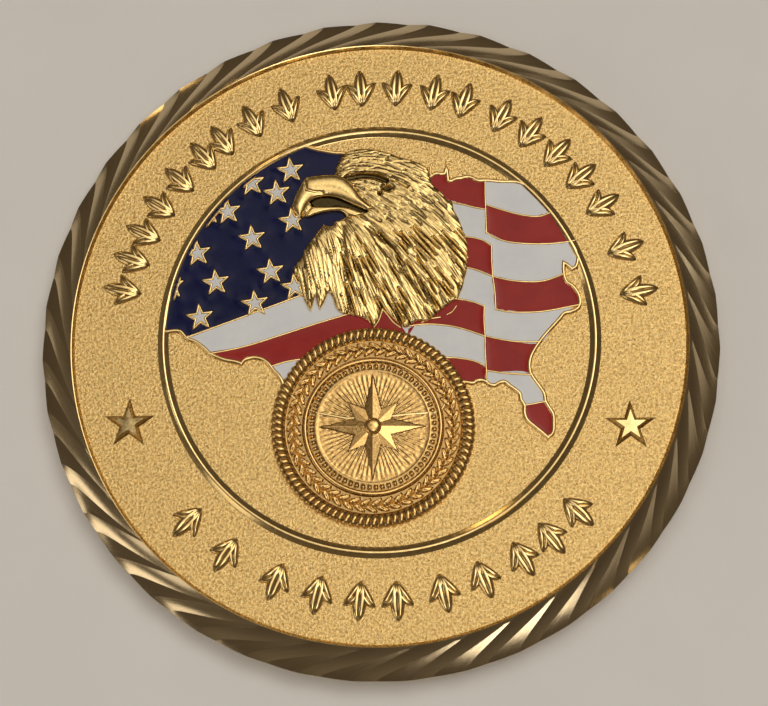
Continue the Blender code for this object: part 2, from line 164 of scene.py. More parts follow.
def segment_distance(x: Array, y: Array, start: Array, end: Array) -> tuple[Array, Array, Array]:
    """Measure from points to a set of segments.

    The foot of each perpendicular is clamped to its segment, and the nearest segment is kept.

    Args:
        x: first coordinates, any shape.
        y: second coordinates, the same shape.
        start: the segments' starts, (n, 2).
        end: the segments' ends, (n, 2).

    Returns:
        The distance, the nearest segment's index plus the share along it, and the signed side, each in
        the shape of x.
    """
    flat = np.stack([x.ravel(), y.ravel()], axis=1)
    span = end - start
    square = np.maximum((span**2).sum(axis=1), 1e-12)
    best, place, side = [], [], []
    for block in np.array_split(flat, max(1, len(flat) * len(start) // 2_000_000)):
        rel = block[:, None] - start[None]
        t = np.clip((rel * span[None]).sum(axis=2) / square, 0, 1)
        gap = rel - t[..., None] * span[None]
        far = np.sqrt((gap**2).sum(axis=2))
        near = far.argmin(axis=1)
        rows = np.arange(len(block))
        best.append(far[rows, near])
        place.append(near + t[rows, near])
        cross = span[near, 0] * rel[rows, near, 1] - span[near, 1] * rel[rows, near, 0]
        side.append(np.sign(cross))
    shape = np.shape(x)
    return tuple(np.concatenate(part).reshape(shape) for part in (best, place, side))


def path_distance(x: Array, y: Array, path: Array) -> tuple[Array, Array]:
    """Return the distance to an open path, and the share of the path where it is nearest."""
    far, place, _ = segment_distance(x, y, path[:-1], path[1:])
    return far, place / (len(path) - 1)


def inside_loop(x: Array, y: Array, loop: Array) -> Array:
    """Tell which points lie inside a closed loop, by counting the sides that a ray to the right crosses."""
    hit = np.zeros(np.shape(x), dtype=bool)
    for (x0, y0), (x1, y1) in zip(loop, np.roll(loop, -1, axis=0)):
        if y0 != y1:
            hit ^= ((y0 > y) != (y1 > y)) & (x < x0 + (y - y0) * (x1 - x0) / (y1 - y0))
    return hit


def loop_depth(x: Array, y: Array, loop: Array) -> Array:
    """Return how deep points lie inside a closed loop, negative outside."""
    far, _, _ = segment_distance(x, y, loop, np.roll(loop, -1, axis=0))
    return np.where(inside_loop(x, y, loop), far, -far)


def hashed(ix: Array, iy: Array, seed: int) -> Array:
    """Return a fixed pseudo-random number from 0 to 1 for each whole-numbered place."""
    value = (ix * 374761393 + iy * 668265263 + seed * 974634777) & 0xFFFFFFFF
    value = ((value ^ (value >> 13)) * 1274126177) & 0xFFFFFFFF
    return (value ^ (value >> 16)) / 4294967296.0


def noise(x: Array, y: Array, seed: int) -> Array:
    """Return smooth noise from 0 to 1: random values at whole-numbered places, eased in between."""
    ix, iy = np.floor(x).astype(np.int64), np.floor(y).astype(np.int64)
    fx, fy = x - ix, y - iy
    fx, fy = fx * fx * (3 - 2 * fx), fy * fy * (3 - 2 * fy)
    low = hashed(ix, iy, seed) * (1 - fx) + hashed(ix + 1, iy, seed) * fx
    high = hashed(ix, iy + 1, seed) * (1 - fx) + hashed(ix + 1, iy + 1, seed) * fx
    return low * (1 - fy) + high * fy


def ease(low: float, high: float, value: Array) -> Array:
    """Rise smoothly from 0 at low to 1 at high."""
    t = np.clip((value - low) / (high - low), 0, 1)
    return t * t * (3 - 2 * t)


def half_round(across: Array) -> Array:
    """Return a half round's height: 1 where across is 0, and 0 where it is 1 or more on either side."""
    return np.sqrt(np.clip(1 - across**2, 0, 1))


def dome(share: Array) -> Array:
    """Rise like a quarter round from 0 to 1 as the share goes from 0 to 1."""
    return half_round(1 - np.clip(share, 0, 1))


# ---------------------------------------------------------------- meshes


def write_mesh(name: str, verts: Array, faces: Sequence[Array], sharp_deg: float) -> bpy.types.Object:
    """Write points in millimetres and groups of equal-sided faces to a new object at the origin.

    Args:
        name: the object's name.
        verts: an (n, 3) array of points.
        faces: arrays of corner indices, each (m, sides).
        sharp_deg: the angle, in degrees, above which an edge is shaded sharp.

    Returns:
        The new object, linked to the scene.
    """
    mesh = bpy.data.meshes.new(name)
    corners = np.concatenate([group.ravel() for group in faces]).astype(np.int32)
    sides = np.concatenate([np.full(len(group), group.shape[1]) for group in faces]).astype(np.int32)
    mesh.vertices.add(len(verts))
    mesh.vertices.foreach_set("co", (verts * MM).astype(np.float32).ravel())
    mesh.loops.add(len(corners))
    mesh.loops.foreach_set("vertex_index", corners)
    mesh.polygons.add(len(sides))
    mesh.polygons.foreach_set("loop_start", (np.cumsum(sides) - sides).astype(np.int32))
    mesh.polygons.foreach_set("loop_total", sides)
    mesh.update(calc_edges=True)
    mesh.validate()
    mesh.shade_smooth()
    mesh.set_sharp_from_angle(angle=math.radians(sharp_deg))
    piece = bpy.data.objects.new(name, mesh)
    bpy.context.scene.collection.objects.link(piece)
    return piece


@dataclass
class Solids:
    """Closed solids gathered into one mesh."""

    verts: list[Array] = field(default_factory=list)
    quads: list[Array] = field(default_factory=list)
    caps: list[Array] = field(default_factory=list)
    count: int = 0

    def sheet(self, points: Array, wrap_rows: bool) -> None:
        """Add a tube of rings.

        Args:
            points: (rings, corners, 3), each ring closed, anticlockwise as seen against the path.
            wrap_rows: whether the last ring joins the first; otherwise both ends get a flat cap.
        """
        rings, corners, _ = points.shape
        index = np.arange(rings * corners).reshape(rings, corners) + self.count
        along = np.roll(index, -1, axis=0) if wrap_rows else index[1:]
        base = index if wrap_rows else index[:-1]
        quads = np.stack([base, along, np.roll(along, -1, axis=1), np.roll(base, -1, axis=1)], axis=-1)
        self.verts.append(points.reshape(-1, 3))
        self.quads.append(quads.reshape(-1, 4))
        if not wrap_rows:
            self.caps += [index[:1], index[-1:, ::-1]]
        self.count += rings * corners

    def write(self, name: str, sharp_deg: float = 35.0) -> bpy.types.Object:
        """Write the gathered solids to one object."""
        return write_mesh(name, np.concatenate(self.verts), self.quads + self.caps, sharp_deg)


@dataclass(frozen=True)
class Section:
    """A bank's cross-section: points from its right edge over the top to its left edge.

    Across runs from 1 to -1, and lift from 0 at the edges to 1 at the top.
    """

    across: Array
    lift: Array

    @classmethod
    def rounded(cls, points: int, fullness: float = 0.7) -> "Section":
        """Return a half round; a lower fullness gives steeper sides and a flatter top."""
        turn = np.linspace(0, math.pi, points)
        return cls(np.cos(turn), np.sin(turn) ** fullness)

    @classmethod
    def ribbed(cls, points: int, groove: float = 0.35) -> "Section":
        """Return a leaf's section: a half round with a narrow groove along its middle."""
        turn = np.linspace(0, math.pi, points)
        across = np.cos(turn)
        return cls(across, np.sin(turn) ** 0.75 - groove * np.exp(-((across / 0.16) ** 2)))


def sweep(
    path: Array, closed: bool, width: Array, height: Array, base: Array, foot: float, section: Section
) -> Array:
    """Carry a bank's section along a path that lies in the plane.

    The rings stand square to the path and are mitred where it turns. Under each section, two corners
    drop to the foot.

    Args:
        path: (n, 2) points.
        closed: whether the path is a loop.
        width: full width at each point, or one for all.
        height: height over the base at each point, or one for all.
        base: level of the section's edges at each point, or one for all.
        foot: level of the hidden underside.
        section: the cross-section.

    Returns:
        An (n, corners, 3) array of rings.
    """
    _, unit, _, mean = directions(path, closed)
    stretch = 1 / np.maximum((mean * unit).sum(axis=1), 0.6)
    ones = np.ones(len(path))
    across = np.stack([mean[:, 1], -mean[:, 0]], axis=1) * (stretch * width * ones / 2)[:, None]
    u = np.concatenate([section.across, [-1, 1]])
    lift = np.concatenate([section.lift, [0, 0]])
    z = (base * ones)[:, None] + (height * ones)[:, None] * lift[None]
    z[:, -2:] = foot
    xy = path[:, None, :] + across[:, None, :] * u[None, :, None]
    return np.concatenate([xy, z[..., None]], axis=-1)


def leaf_rings(
    start: Array, end: Array, bend: float, width: float, height: float, base: float, foot: float
) -> Array:
    """Shape one leaf: a ribbed bank along a bowed path, pointed at both ends.

    Its width follows the sine of its share of the length, drawn a little towards the stem, and its
    height follows the square root of that width.

    Args:
        start: the stem end, (2,).
        end: the tip, (2,).
        bend: how far the path bows to the left, as a share of its length.
        width: greatest width.
        height: greatest height.
        base: level of its edges.
        foot: level of its underside.

    Returns:
        Rings for Solids.sheet.
    """
    t = np.linspace(0, 1, 13)
    along = end - start
    left = np.array([-along[1], along[0]])
    path = start + t[:, None] * along + (4 * t * (1 - t) * bend)[:, None] * left
    share = np.maximum(np.sin(math.pi * t**0.9), 0.02)
    return sweep(path, False, width * share**0.5, height * np.sqrt(share), base, foot, Section.ribbed(11))


def star_corners(tip: float, turn_deg: float = 90.0) -> Array:
    """Return the ten corners of a five-pointed star about the origin, its tips at the given radius."""
    inner = tip * math.sin(math.radians(18)) / math.sin(math.radians(54))
    angle = np.radians(turn_deg + 36 * np.arange(10))
    radius = np.where(np.arange(10) % 2 == 0, tip, inner)
    return np.stack([radius * np.cos(angle), radius * np.sin(angle)], axis=1)


def star_rings(centre: Point, tip: float, turn_deg: float, steps: Sequence[tuple[float, float]]) -> Array:
    """Stack scaled copies of a star from its middle out and down.

    Args:
        centre: the star's centre.
        tip: radius of its tips.
        turn_deg: direction of one tip.
        steps: (scale, level) of each copy, from the top's middle to the underside.

    Returns:
        Rings for Solids.sheet.
    """
    corners = star_corners(tip, turn_deg)
    rings = [np.column_stack([corners * scale + as_points(centre), np.full(10, z)]) for scale, z in steps]
    return np.stack(rings)


def turned_over(rings: Array) -> Array:
    """Turn rings half round about the x axis, from the obverse to the reverse, and run them backwards."""
    return (rings * np.array([1, -1, -1]) + np.array([0, 0, LEVEL.crest]))[:, ::-1]


def plate(
    name: str, loop: Array, spacing: float, height: HeightField, foot: float, grow: float = 0.0
) -> bpy.types.Object:
    """Build a relief plate: a fine grid cut to a loop, with its edge points moved onto the loop.

    The plate's top is the height field, its sides are upright, and its underside is flat at the foot.

    Args:
        name: the object's name.
        loop: the outline, (n, 2).
        spacing: the grid's spacing.
        height: gives the top's height at any points.
        foot: the level of the underside.
        grow: how far past the loop the plate reaches.

    Returns:
        The new object.
    """
    low, high = loop.min(axis=0) - grow - 2 * spacing, loop.max(axis=0) + grow + 2 * spacing
    xs, ys = np.arange(low[0], high[0], spacing), np.arange(low[1], high[1], spacing)
    x, y = np.meshgrid(xs, ys, indexing="ij")
    mid_x, mid_y = x[:-1, :-1] + spacing / 2, y[:-1, :-1] + spacing / 2
    keep = loop_depth(mid_x, mid_y, loop) > -grow
    for _ in range(3):
        diagonal = keep[:-1, :-1] & keep[1:, 1:] & ~keep[1:, :-1] & ~keep[:-1, 1:]
        other = keep[1:, :-1] & keep[:-1, 1:] & ~keep[:-1, :-1] & ~keep[1:, 1:]
        keep[:-1, :-1] &= ~diagonal
        keep[1:, :-1] &= ~other
    held = np.pad(keep, 1)
    touching = held[1:, 1:].astype(int) + held[:-1, 1:] + held[1:, :-1] + held[:-1, :-1]
    used, rim = touching > 0, (touching > 0) & (touching < 4)
    rx, ry = x[rim], y[rim]
    eps = 1e-3
    for _ in range(2):
        depth = loop_depth(rx, ry, loop) + grow
        gx = (loop_depth(rx + eps, ry, loop) + grow - depth) / eps
        gy = (loop_depth(rx, ry + eps, loop) + grow - depth) / eps
        size = np.maximum(np.hypot(gx, gy), 0.3)
        step = np.clip(depth / size, -spacing, spacing)
        rx, ry = rx - step * gx / size, ry - step * gy / size
    x[rim], y[rim] = rx, ry
    px, py = x[used], y[used]
    count = len(px)
    index = np.full(x.shape, -1)
    index[used] = np.arange(count)
    a, b, c, d = (index[:-1, :-1][keep], index[1:, :-1][keep], index[1:, 1:][keep], index[:-1, 1:][keep])
    open_sides = (
        (a, b, ~held[1:-1, :-2][keep]),
        (b, c, ~held[2:, 1:-1][keep]),
        (c, d, ~held[1:-1, 2:][keep]),
        (d, a, ~held[:-2, 1:-1][keep]),
    )
    start = np.concatenate([p[edge] for p, _, edge in open_sides])
    end = np.concatenate([q[edge] for _, q, edge in open_sides])
    top = np.stack([a, b, c, d], axis=1)
    walls = np.stack([end, start, start + count, end + count], axis=1)
    under = np.stack([a, d, c, b], axis=1) + count
    upper = np.stack([px, py, height(px, py)], axis=1)
    lower = np.stack([px, py, np.full(count, foot)], axis=1)
    return write_mesh(name, np.concatenate([upper, lower]), [np.concatenate([top, walls, under])], 50.0)


# ---------------------------------------------------------------- finishes


TONE_SPAN: Point = (0.35, 0.65)
GLOSS_SPAN: Point = (0.3, 0.7)
# Share of the base colour kept under full painted shade.
PAINTED_SHADE_TONE = 0.06


class Nodes:
    """A material's node tree, with short calls to fill it."""

    def __init__(self, name: str) -> None:
        """Make the material with a bare Principled shader."""
        self.material = bpy.data.materials.new(name)
        self.material.use_nodes = True
        self.tree = self.material.node_tree
        self.shader = self.tree.nodes["Principled BSDF"]

    def add(self, kind: str) -> bpy.types.Node:
        """Add a node."""
        return self.tree.nodes.new(kind)

    def link(self, source: bpy.types.NodeSocket, target: bpy.types.NodeSocket) -> None:
        """Join two sockets."""
        self.tree.links.new(source, target)

    def grain(
        self, coordinate: str, size: float, detail: float, stretch: Point = (1.0, 1.0)
    ) -> bpy.types.NodeSocket:
        """Add a noise pattern and return its value.

        Args:
            coordinate: "Object" for places in metres, or "UV".
            size: the pattern's size, in metres or in parts of the UV map.
            detail: octaves of finer pattern.
            stretch: scale of the pattern along the coordinate's first two axes.

        Returns:
            The noise's value socket.
        """
        place = self.add("ShaderNodeTexCoord")
        mapping = self.add("ShaderNodeMapping")
        mapping.inputs["Scale"].default_value = (stretch[0] / size, stretch[1] / size, 1 / size)
        self.link(place.outputs[coordinate], mapping.inputs["Vector"])
        pattern = self.add("ShaderNodeTexNoise")
        pattern.inputs["Scale"].default_value = 1.0
        pattern.inputs["Detail"].default_value = detail
        pattern.inputs["Roughness"].default_value = 0.6
        self.link(mapping.outputs["Vector"], pattern.inputs["Vector"])
        return pattern.outputs["Fac"]

    def bump(
        self, height: bpy.types.NodeSocket, depth: float, under: bpy.types.Node | None = None
    ) -> bpy.types.Node:
        """Roughen the surface by a height pattern, over another bump if one is given."""
        node = self.add("ShaderNodeBump")
        node.inputs["Strength"].default_value = 1.0
        node.inputs["Distance"].default_value = depth
        self.link(height, node.inputs["Height"])
        if under is not None:
            self.link(under.outputs["Normal"], node.inputs["Normal"])
        self.link(node.outputs["Normal"], self.shader.inputs["Normal"])
        return node

    def blend(self, factor: bpy.types.NodeSocket, low: Sequence[float], high: Sequence[float]) -> None:
        """Colour the surface between two tones by a pattern, over the middle of its values.

        The tone is dimmed as painted shade where the piece's own per-point shade attribute is above nought,
        darkening its recesses.
        """
        ramp = self.add("ShaderNodeValToRGB")
        ramp.color_ramp.elements[0].position = TONE_SPAN[0]
        ramp.color_ramp.elements[1].position = TONE_SPAN[1]
        ramp.color_ramp.elements[0].color = (*low, 1.0)
        ramp.color_ramp.elements[1].color = (*high, 1.0)
        self.link(factor, ramp.inputs["Fac"])
        # Painted shade: darken the base colour by the piece's per-point shade attribute.
        painted_shade = self.add("ShaderNodeAttribute")
        painted_shade.attribute_name = "painted_shade"
        keep = self.add("ShaderNodeMapRange")
        keep.inputs["To Min"].default_value = 1.0
        keep.inputs["To Max"].default_value = PAINTED_SHADE_TONE
        dim = self.add("ShaderNodeVectorMath")
        dim.operation = "SCALE"
        self.link(painted_shade.outputs["Fac"], keep.inputs["Value"])
        self.link(ramp.outputs["Color"], dim.inputs[0])
        self.link(keep.outputs["Result"], dim.inputs["Scale"])
        self.link(dim.outputs["Vector"], self.shader.inputs["Base Color"])

    def spread_roughness(self, factor: bpy.types.NodeSocket, low: float, high: float) -> None:
        """Vary the roughness between two values by a pattern."""
        scale = self.add("ShaderNodeMapRange")
        scale.inputs["From Min"].default_value = GLOSS_SPAN[0]
        scale.inputs["From Max"].default_value = GLOSS_SPAN[1]
        scale.inputs["To Min"].default_value = low
        scale.inputs["To Max"].default_value = high
        self.link(factor, scale.inputs["Value"])
        self.link(scale.outputs["Result"], self.shader.inputs["Roughness"])


@dataclass(frozen=True)
class PlatedGold:
    """Gold plate over brass.

    Depth and grain are in metres: the grain is the size of the blasting's pits or of the polish's ripples.
    """

    name: str
    tone: tuple[float, float, float] = (0.94, 0.70, 0.33)
    deep_tone: tuple[float, float, float] = (0.84, 0.58, 0.23)
    roughness: Point = (0.12, 0.2)
    grain: float = 0.0004
    depth: float = 0.000004
    fine_grain: float = 0.00006
    fine_depth: float = 0.0

    def make(self) -> bpy.types.Material:
        """Build the node material."""
        nodes = Nodes(self.name)
        nodes.shader.inputs["Metallic"].default_value = 1.0
        coarse = nodes.grain("Object", self.grain, 3.0)
        nodes.blend(coarse, self.deep_tone, self.tone)
        nodes.spread_roughness(coarse, *self.roughness)
        rough = nodes.bump(coarse, self.depth)
        if self.fine_depth:
            nodes.bump(nodes.grain("Object", self.fine_grain, 2.0), self.fine_depth, under=rough)
        return nodes.material


@dataclass(frozen=True)
class CutGold:
    """Diamond-cut gold plate: a mirror with fine lines left along each cut, its tone darker and duller than
    the polished gold as painted shade for the dark room it reflects.
    """

    name: str = "diamond_cut_gold"
    # Painted shade: the same plating, darkened to stand in for the dark surroundings the edge reflects.
    tone: tuple[float, float, float] = (0.68, 0.54, 0.34)
    deep_tone: tuple[float, float, float] = (0.60, 0.47, 0.28)
    line: float = 0.012
    depth: float = 0.0000012

    def make(self) -> bpy.types.Material:
        """Build the node material; its lines follow the edge's own UV map, along the cuts."""
        nodes = Nodes(self.name)
        nodes.shader.inputs["Metallic"].default_value = 1.0
        lines = nodes.grain("UV", self.line, 2.0, stretch=(0.012, 1.0))
        nodes.blend(lines, self.deep_tone, self.tone)
        nodes.spread_roughness(lines, 0.1, 0.2)
        nodes.bump(lines, self.depth)
        return nodes.material


@dataclass(frozen=True)
class SoftEnamel:
    """Soft enamel: coloured resin, glossy, with a faint ripple and fine dust in it."""

    name: str
    tone: tuple[float, float, float]
    dark_tone: tuple[float, float, float]
    roughness: Point = (0.14, 0.22)
    shine: float = 0.22

    def make(self) -> bpy.types.Material:
        """Build the node material."""
        nodes = Nodes(self.name)
        nodes.shader.inputs["Specular IOR Level"].default_value = self.shine
        cloud = nodes.grain("Object", 0.0016, 4.0)
        nodes.blend(cloud, self.dark_tone, self.tone)
        nodes.spread_roughness(cloud, *self.roughness)
        ripple = nodes.bump(nodes.grain("Object", 0.0009, 1.0), 0.000006)
        nodes.bump(nodes.grain("Object", 0.00012, 2.0), 0.0000015, under=ripple)
        return nodes.material


class Metal(Enum):
    """The finishes that the one struck piece shows."""

    BLASTED = PlatedGold(
        "sandblasted_gold", tone=(1.0, 0.71, 0.30), deep_tone=(0.55, 0.34, 0.11), roughness=(0.20, 0.32),
        grain=0.00018, depth=0.00007, fine_grain=0.00006, fine_depth=0.00002,
    )
    POLISHED = PlatedGold("polished_gold")
    RELIEF = PlatedGold(
        "relief_gold", tone=(0.92, 0.68, 0.30), deep_tone=(0.80, 0.55, 0.20), roughness=(0.16, 0.26),
        grain=0.00022, depth=0.000008,
    )
    MEDAL = PlatedGold(
        "medallion_gold", tone=(0.86, 0.56, 0.22), deep_tone=(0.72, 0.43, 0.14), roughness=(0.18, 0.28),
        grain=0.00022, depth=0.00001,
    )
    CUT = CutGold()


class Pool(Enum):
    """The enamel colours."""

    NAVY = SoftEnamel("navy_soft_enamel", (0.008, 0.011, 0.068), (0.006, 0.008, 0.05), shine=0.16)
    RED = SoftEnamel("red_soft_enamel", (0.43, 0.020, 0.013), (0.36, 0.015, 0.010))
    WHITE = SoftEnamel("white_soft_enamel", (0.92, 0.94, 0.96), (0.87, 0.89, 0.92))


@dataclass
class Palette:
    """Materials already made, so that each finish is built once."""

    made: dict[Enum, bpy.types.Material] = field(default_factory=dict)

    def __getitem__(self, finish: Enum) -> bpy.types.Material:
        """Return the material of a finish, building it the first time."""
        if finish not in self.made:
            self.made[finish] = finish.value.make()
        return self.made[finish]


PALETTE = Palette()


def settle(piece: bpy.types.Object, slot: str, *finishes: Enum) -> bpy.types.Object:
    """Give a finished piece its materials and its place on the coin's body."""
    for finish in finishes:
        piece.data.materials.append(PALETTE[finish])
    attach(piece, "root")
    LOG.info("%s: %d faces", piece.name, len(piece.data.polygons))
    return piece


def paint_shade(piece: bpy.types.Object, share: Callable[[Array, Array, Array], Array]) -> None:
    """Store painted shade at each point, from 0 to 1, so that the finish is darker there as if shade fell in
    its recesses.

    Args:
        piece: the object.
        share: gives the amount of painted shade at any points, in millimetres.
    """
    verts = np.empty(len(piece.data.vertices) * 3, dtype=np.float32)
    piece.data.vertices.foreach_get("co", verts)
    place = verts.reshape(-1, 3).astype(float) / MM
    layer = piece.data.attributes.new("painted_shade", "FLOAT", "POINT")
    layer.data.foreach_set("value", np.clip(share(*place.T), 0, 1).astype(np.float32))


# ---------------------------------------------------------------- the struck blank


@dataclass
class StruckBlank:
    """The metal disc: blasted fields on both faces, bead rings, crest and diamond-cut edge."""

    cuts: int = 39
    cut_depth: float = 0.24
    ridge_sweep: float = 11.0
    valley_sweep: float = 16.0
    valley_share: float = 0.94
    bevel_rise: float = 0.45
    belt_rise: float = 0.12
    bead_rise: float = 0.2
    bead_round: float = 0.04
    wide_columns: int = 7
    narrow_columns: int = 5
    land_inner: float = 19.3
    edge_steps: int = 13

    def cut_angles(self, share: Array) -> Array:
        """Place the columns on each row of the edge.

        A ridge's angle falls by the ridge sweep, and a valley's by the valley sweep, as the share of the
        way out goes from 0 to 1, fast at first. The columns between them are evenly spaced.

        Args:
            share: (rows,) share of the way from the crest to the bevel.

        Returns:
            (rows, columns) angles, in radians.
        """
        sweep_share = 1 - (1 - share) ** 1.4
        pitch = 360 / self.cuts
        start = np.arange(self.cuts)[None, :, None] * pitch
        ridge = start - self.ridge_sweep * sweep_share[:, None, None]
        valley = start + self.valley_share * pitch - self.valley_sweep * sweep_share[:, None, None]
        wide = np.arange(self.wide_columns) / self.wide_columns
        narrow = np.arange(self.narrow_columns) / self.narrow_columns
        angles = np.concatenate(
            [ridge + (valley - ridge) * wide, valley + (ridge + pitch - valley) * narrow], axis=2
        )
        return np.radians(angles.reshape(len(share), -1))

    def cut_drop(self) -> Array:
        """Return how far down each column lies: 0 on a ridge, 1 in a valley, straight in between."""
        wide = np.arange(self.wide_columns) / self.wide_columns
        narrow = 1 - np.arange(self.narrow_columns) / self.narrow_columns
        return np.tile(np.concatenate([wide, narrow]), self.cuts)

    def edge_rows(self) -> Array:
        """Return the obverse half of the edge, (rows, columns, 3), from the crest to the belt.

        The chamfer is a straight cone, sunk at each valley in proportion to the share of the way out;
        outside it a short bevel turns down to the belt.
        """
        share = np.linspace(0, 1, self.edge_steps)
        angles = self.cut_angles(share)
        drop = self.cut_drop()[None] * self.cut_depth * share[:, None] ** 0.8
        radius = RING.crest + (RING.bevel - RING.crest) * share[:, None] - drop * 0.25
        middle = LEVEL.crest / 2
        height = LEVEL.crest + (middle + self.bevel_rise - LEVEL.crest) * share[:, None] - drop * 0.9
        rows = np.stack([radius * np.cos(angles), radius * np.sin(angles), height + 0 * angles], axis=-1)
        rim = rows[-1:].copy()
        rim[..., :2] *= RING.coin / RING.bevel
        rim[..., 2] = middle + self.belt_rise
        return np.concatenate([rows, rim])

    def face_profile(self, land: bool) -> tuple[Array, Array]:
        """Return a face's profile from its centre to the crest, and which of its bands are polished.

        Args:
            land: whether the face has a flat outer land, as the reverse has, or a slope to the crest.

        Returns:
            (n, 2) radius and height above the middle of the blank, and (n - 1,) booleans.
        """
        middle = LEVEL.crest / 2
        floor = LEVEL.field - middle
        across = np.array([-1, -0.94, -0.7, -0.45, -0.28, -0.14, 0, 0.14, 0.28, 0.45, 0.7, 0.94, 1])
        roof = np.clip(1 - np.sqrt(across**2 + self.bead_round), 0, 1) / (1 - math.sqrt(self.bead_round))
        bead = np.stack([RING.bead + RING.bead_half * across, floor + self.bead_rise * roof], axis=1)
        inner = as_points([(0.5, floor), (5.0, floor), (10.0, floor), (13.0, floor), (13.7, floor)])
        band = as_points([(14.5, floor), (15.5, floor), (17.0, floor), (18.5, floor)])
        if land:
            inset = self.land_inner - 0.25
            outer = as_points([(inset, floor), (self.land_inner, middle), (RING.crest, middle)])
        else:
            crest = LEVEL.crest - middle
            turn_up = (RING.slope + 0.07, floor + 0.14)
            outer = as_points([(RING.slope, floor), turn_up, (RING.crest - 0.05, crest - 0.02)])
        profile = np.concatenate([inner, bead, band, outer])
        polished = np.zeros(len(profile) - 1, dtype=bool)
        first = len(inner) - 1
        polished[first + 1: first + len(bead)] = True
        polished[-2:] = True
        return profile, polished

    def build(self) -> bpy.types.Object:
        """Build and dress the blank."""
        middle = LEVEL.crest / 2
        edge = self.edge_rows()
        columns = edge.shape[1]
        crest_angles = self.cut_angles(np.zeros(1))[0]

        def rows_of(profile: Array) -> Array:
            """Turn a profile about the axis, on the crest's angles."""
            radius, height = profile[:, :1], profile[:, 1:]
            circle = np.stack([np.cos(crest_angles), np.sin(crest_angles)], axis=-1)[None]
            level = np.broadcast_to(height[..., None], (len(profile), columns, 1))
            return np.concatenate([radius[..., None] * circle, level], axis=-1)

        obverse, obverse_polish = self.face_profile(False)
        reverse, _ = self.face_profile(True)
        upper = rows_of(obverse) + np.array([0, 0, middle])
        lower = rows_of(reverse[:-1])[::-1] * np.array([1, 1, -1]) + np.array([0, 0, middle])
        under_edge = edge[::-1] * np.array([1, 1, -1]) + np.array([0, 0, LEVEL.crest])
        rings = np.concatenate([upper, edge, under_edge, lower])
        solids = Solids()
        solids.sheet(rings, wrap_rows=False)
        piece = solids.write("coin_blank", 4.0)

        bands = len(rings) - 1
        finish = np.zeros(bands, dtype=np.int32)
        finish[: len(upper) - 1][obverse_polish] = 1
        finish[len(upper) - 1] = 1
        finish[len(upper): len(upper) + len(edge) + len(under_edge) - 1] = 2
        back = finish[len(upper) + len(edge) + len(under_edge) - 1:]
        back[:3] = 1
        bead_radius = np.abs(np.hypot(lower[:, 0, 0], lower[:, 0, 1]) - RING.bead) < RING.bead_half + 0.05
        back[1:][bead_radius[:-1] & bead_radius[1:]] = 1
        per_face = np.concatenate([np.repeat(finish, columns), [0, 0]]).astype(np.int32)
        piece.data.polygons.foreach_set("material_index", per_face)

        row = np.arange(bands)[:, None, None] + np.array([0, 1, 1, 0])[None, None]
        column = np.arange(columns)[None, :, None] + np.array([0, 0, 1, 1])[None, None]
        period = self.wide_columns + self.narrow_columns
        uv = np.stack(np.broadcast_arrays(row / self.edge_steps, column / period), axis=-1).reshape(-1, 2)
        spare = len(piece.data.loops) - len(uv)
        uv = np.concatenate([uv, np.zeros((spare, 2))])
        layer = piece.data.uv_layers.new(name="cut")
        layer.data.foreach_set("uv", uv.astype(np.float32).ravel())
        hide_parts("struck_body")
        return settle(piece, "plated_brass", Metal.BLASTED, Metal.POLISHED, Metal.CUT)


# ---------------------------------------------------------------- the map, its walls and its enamel


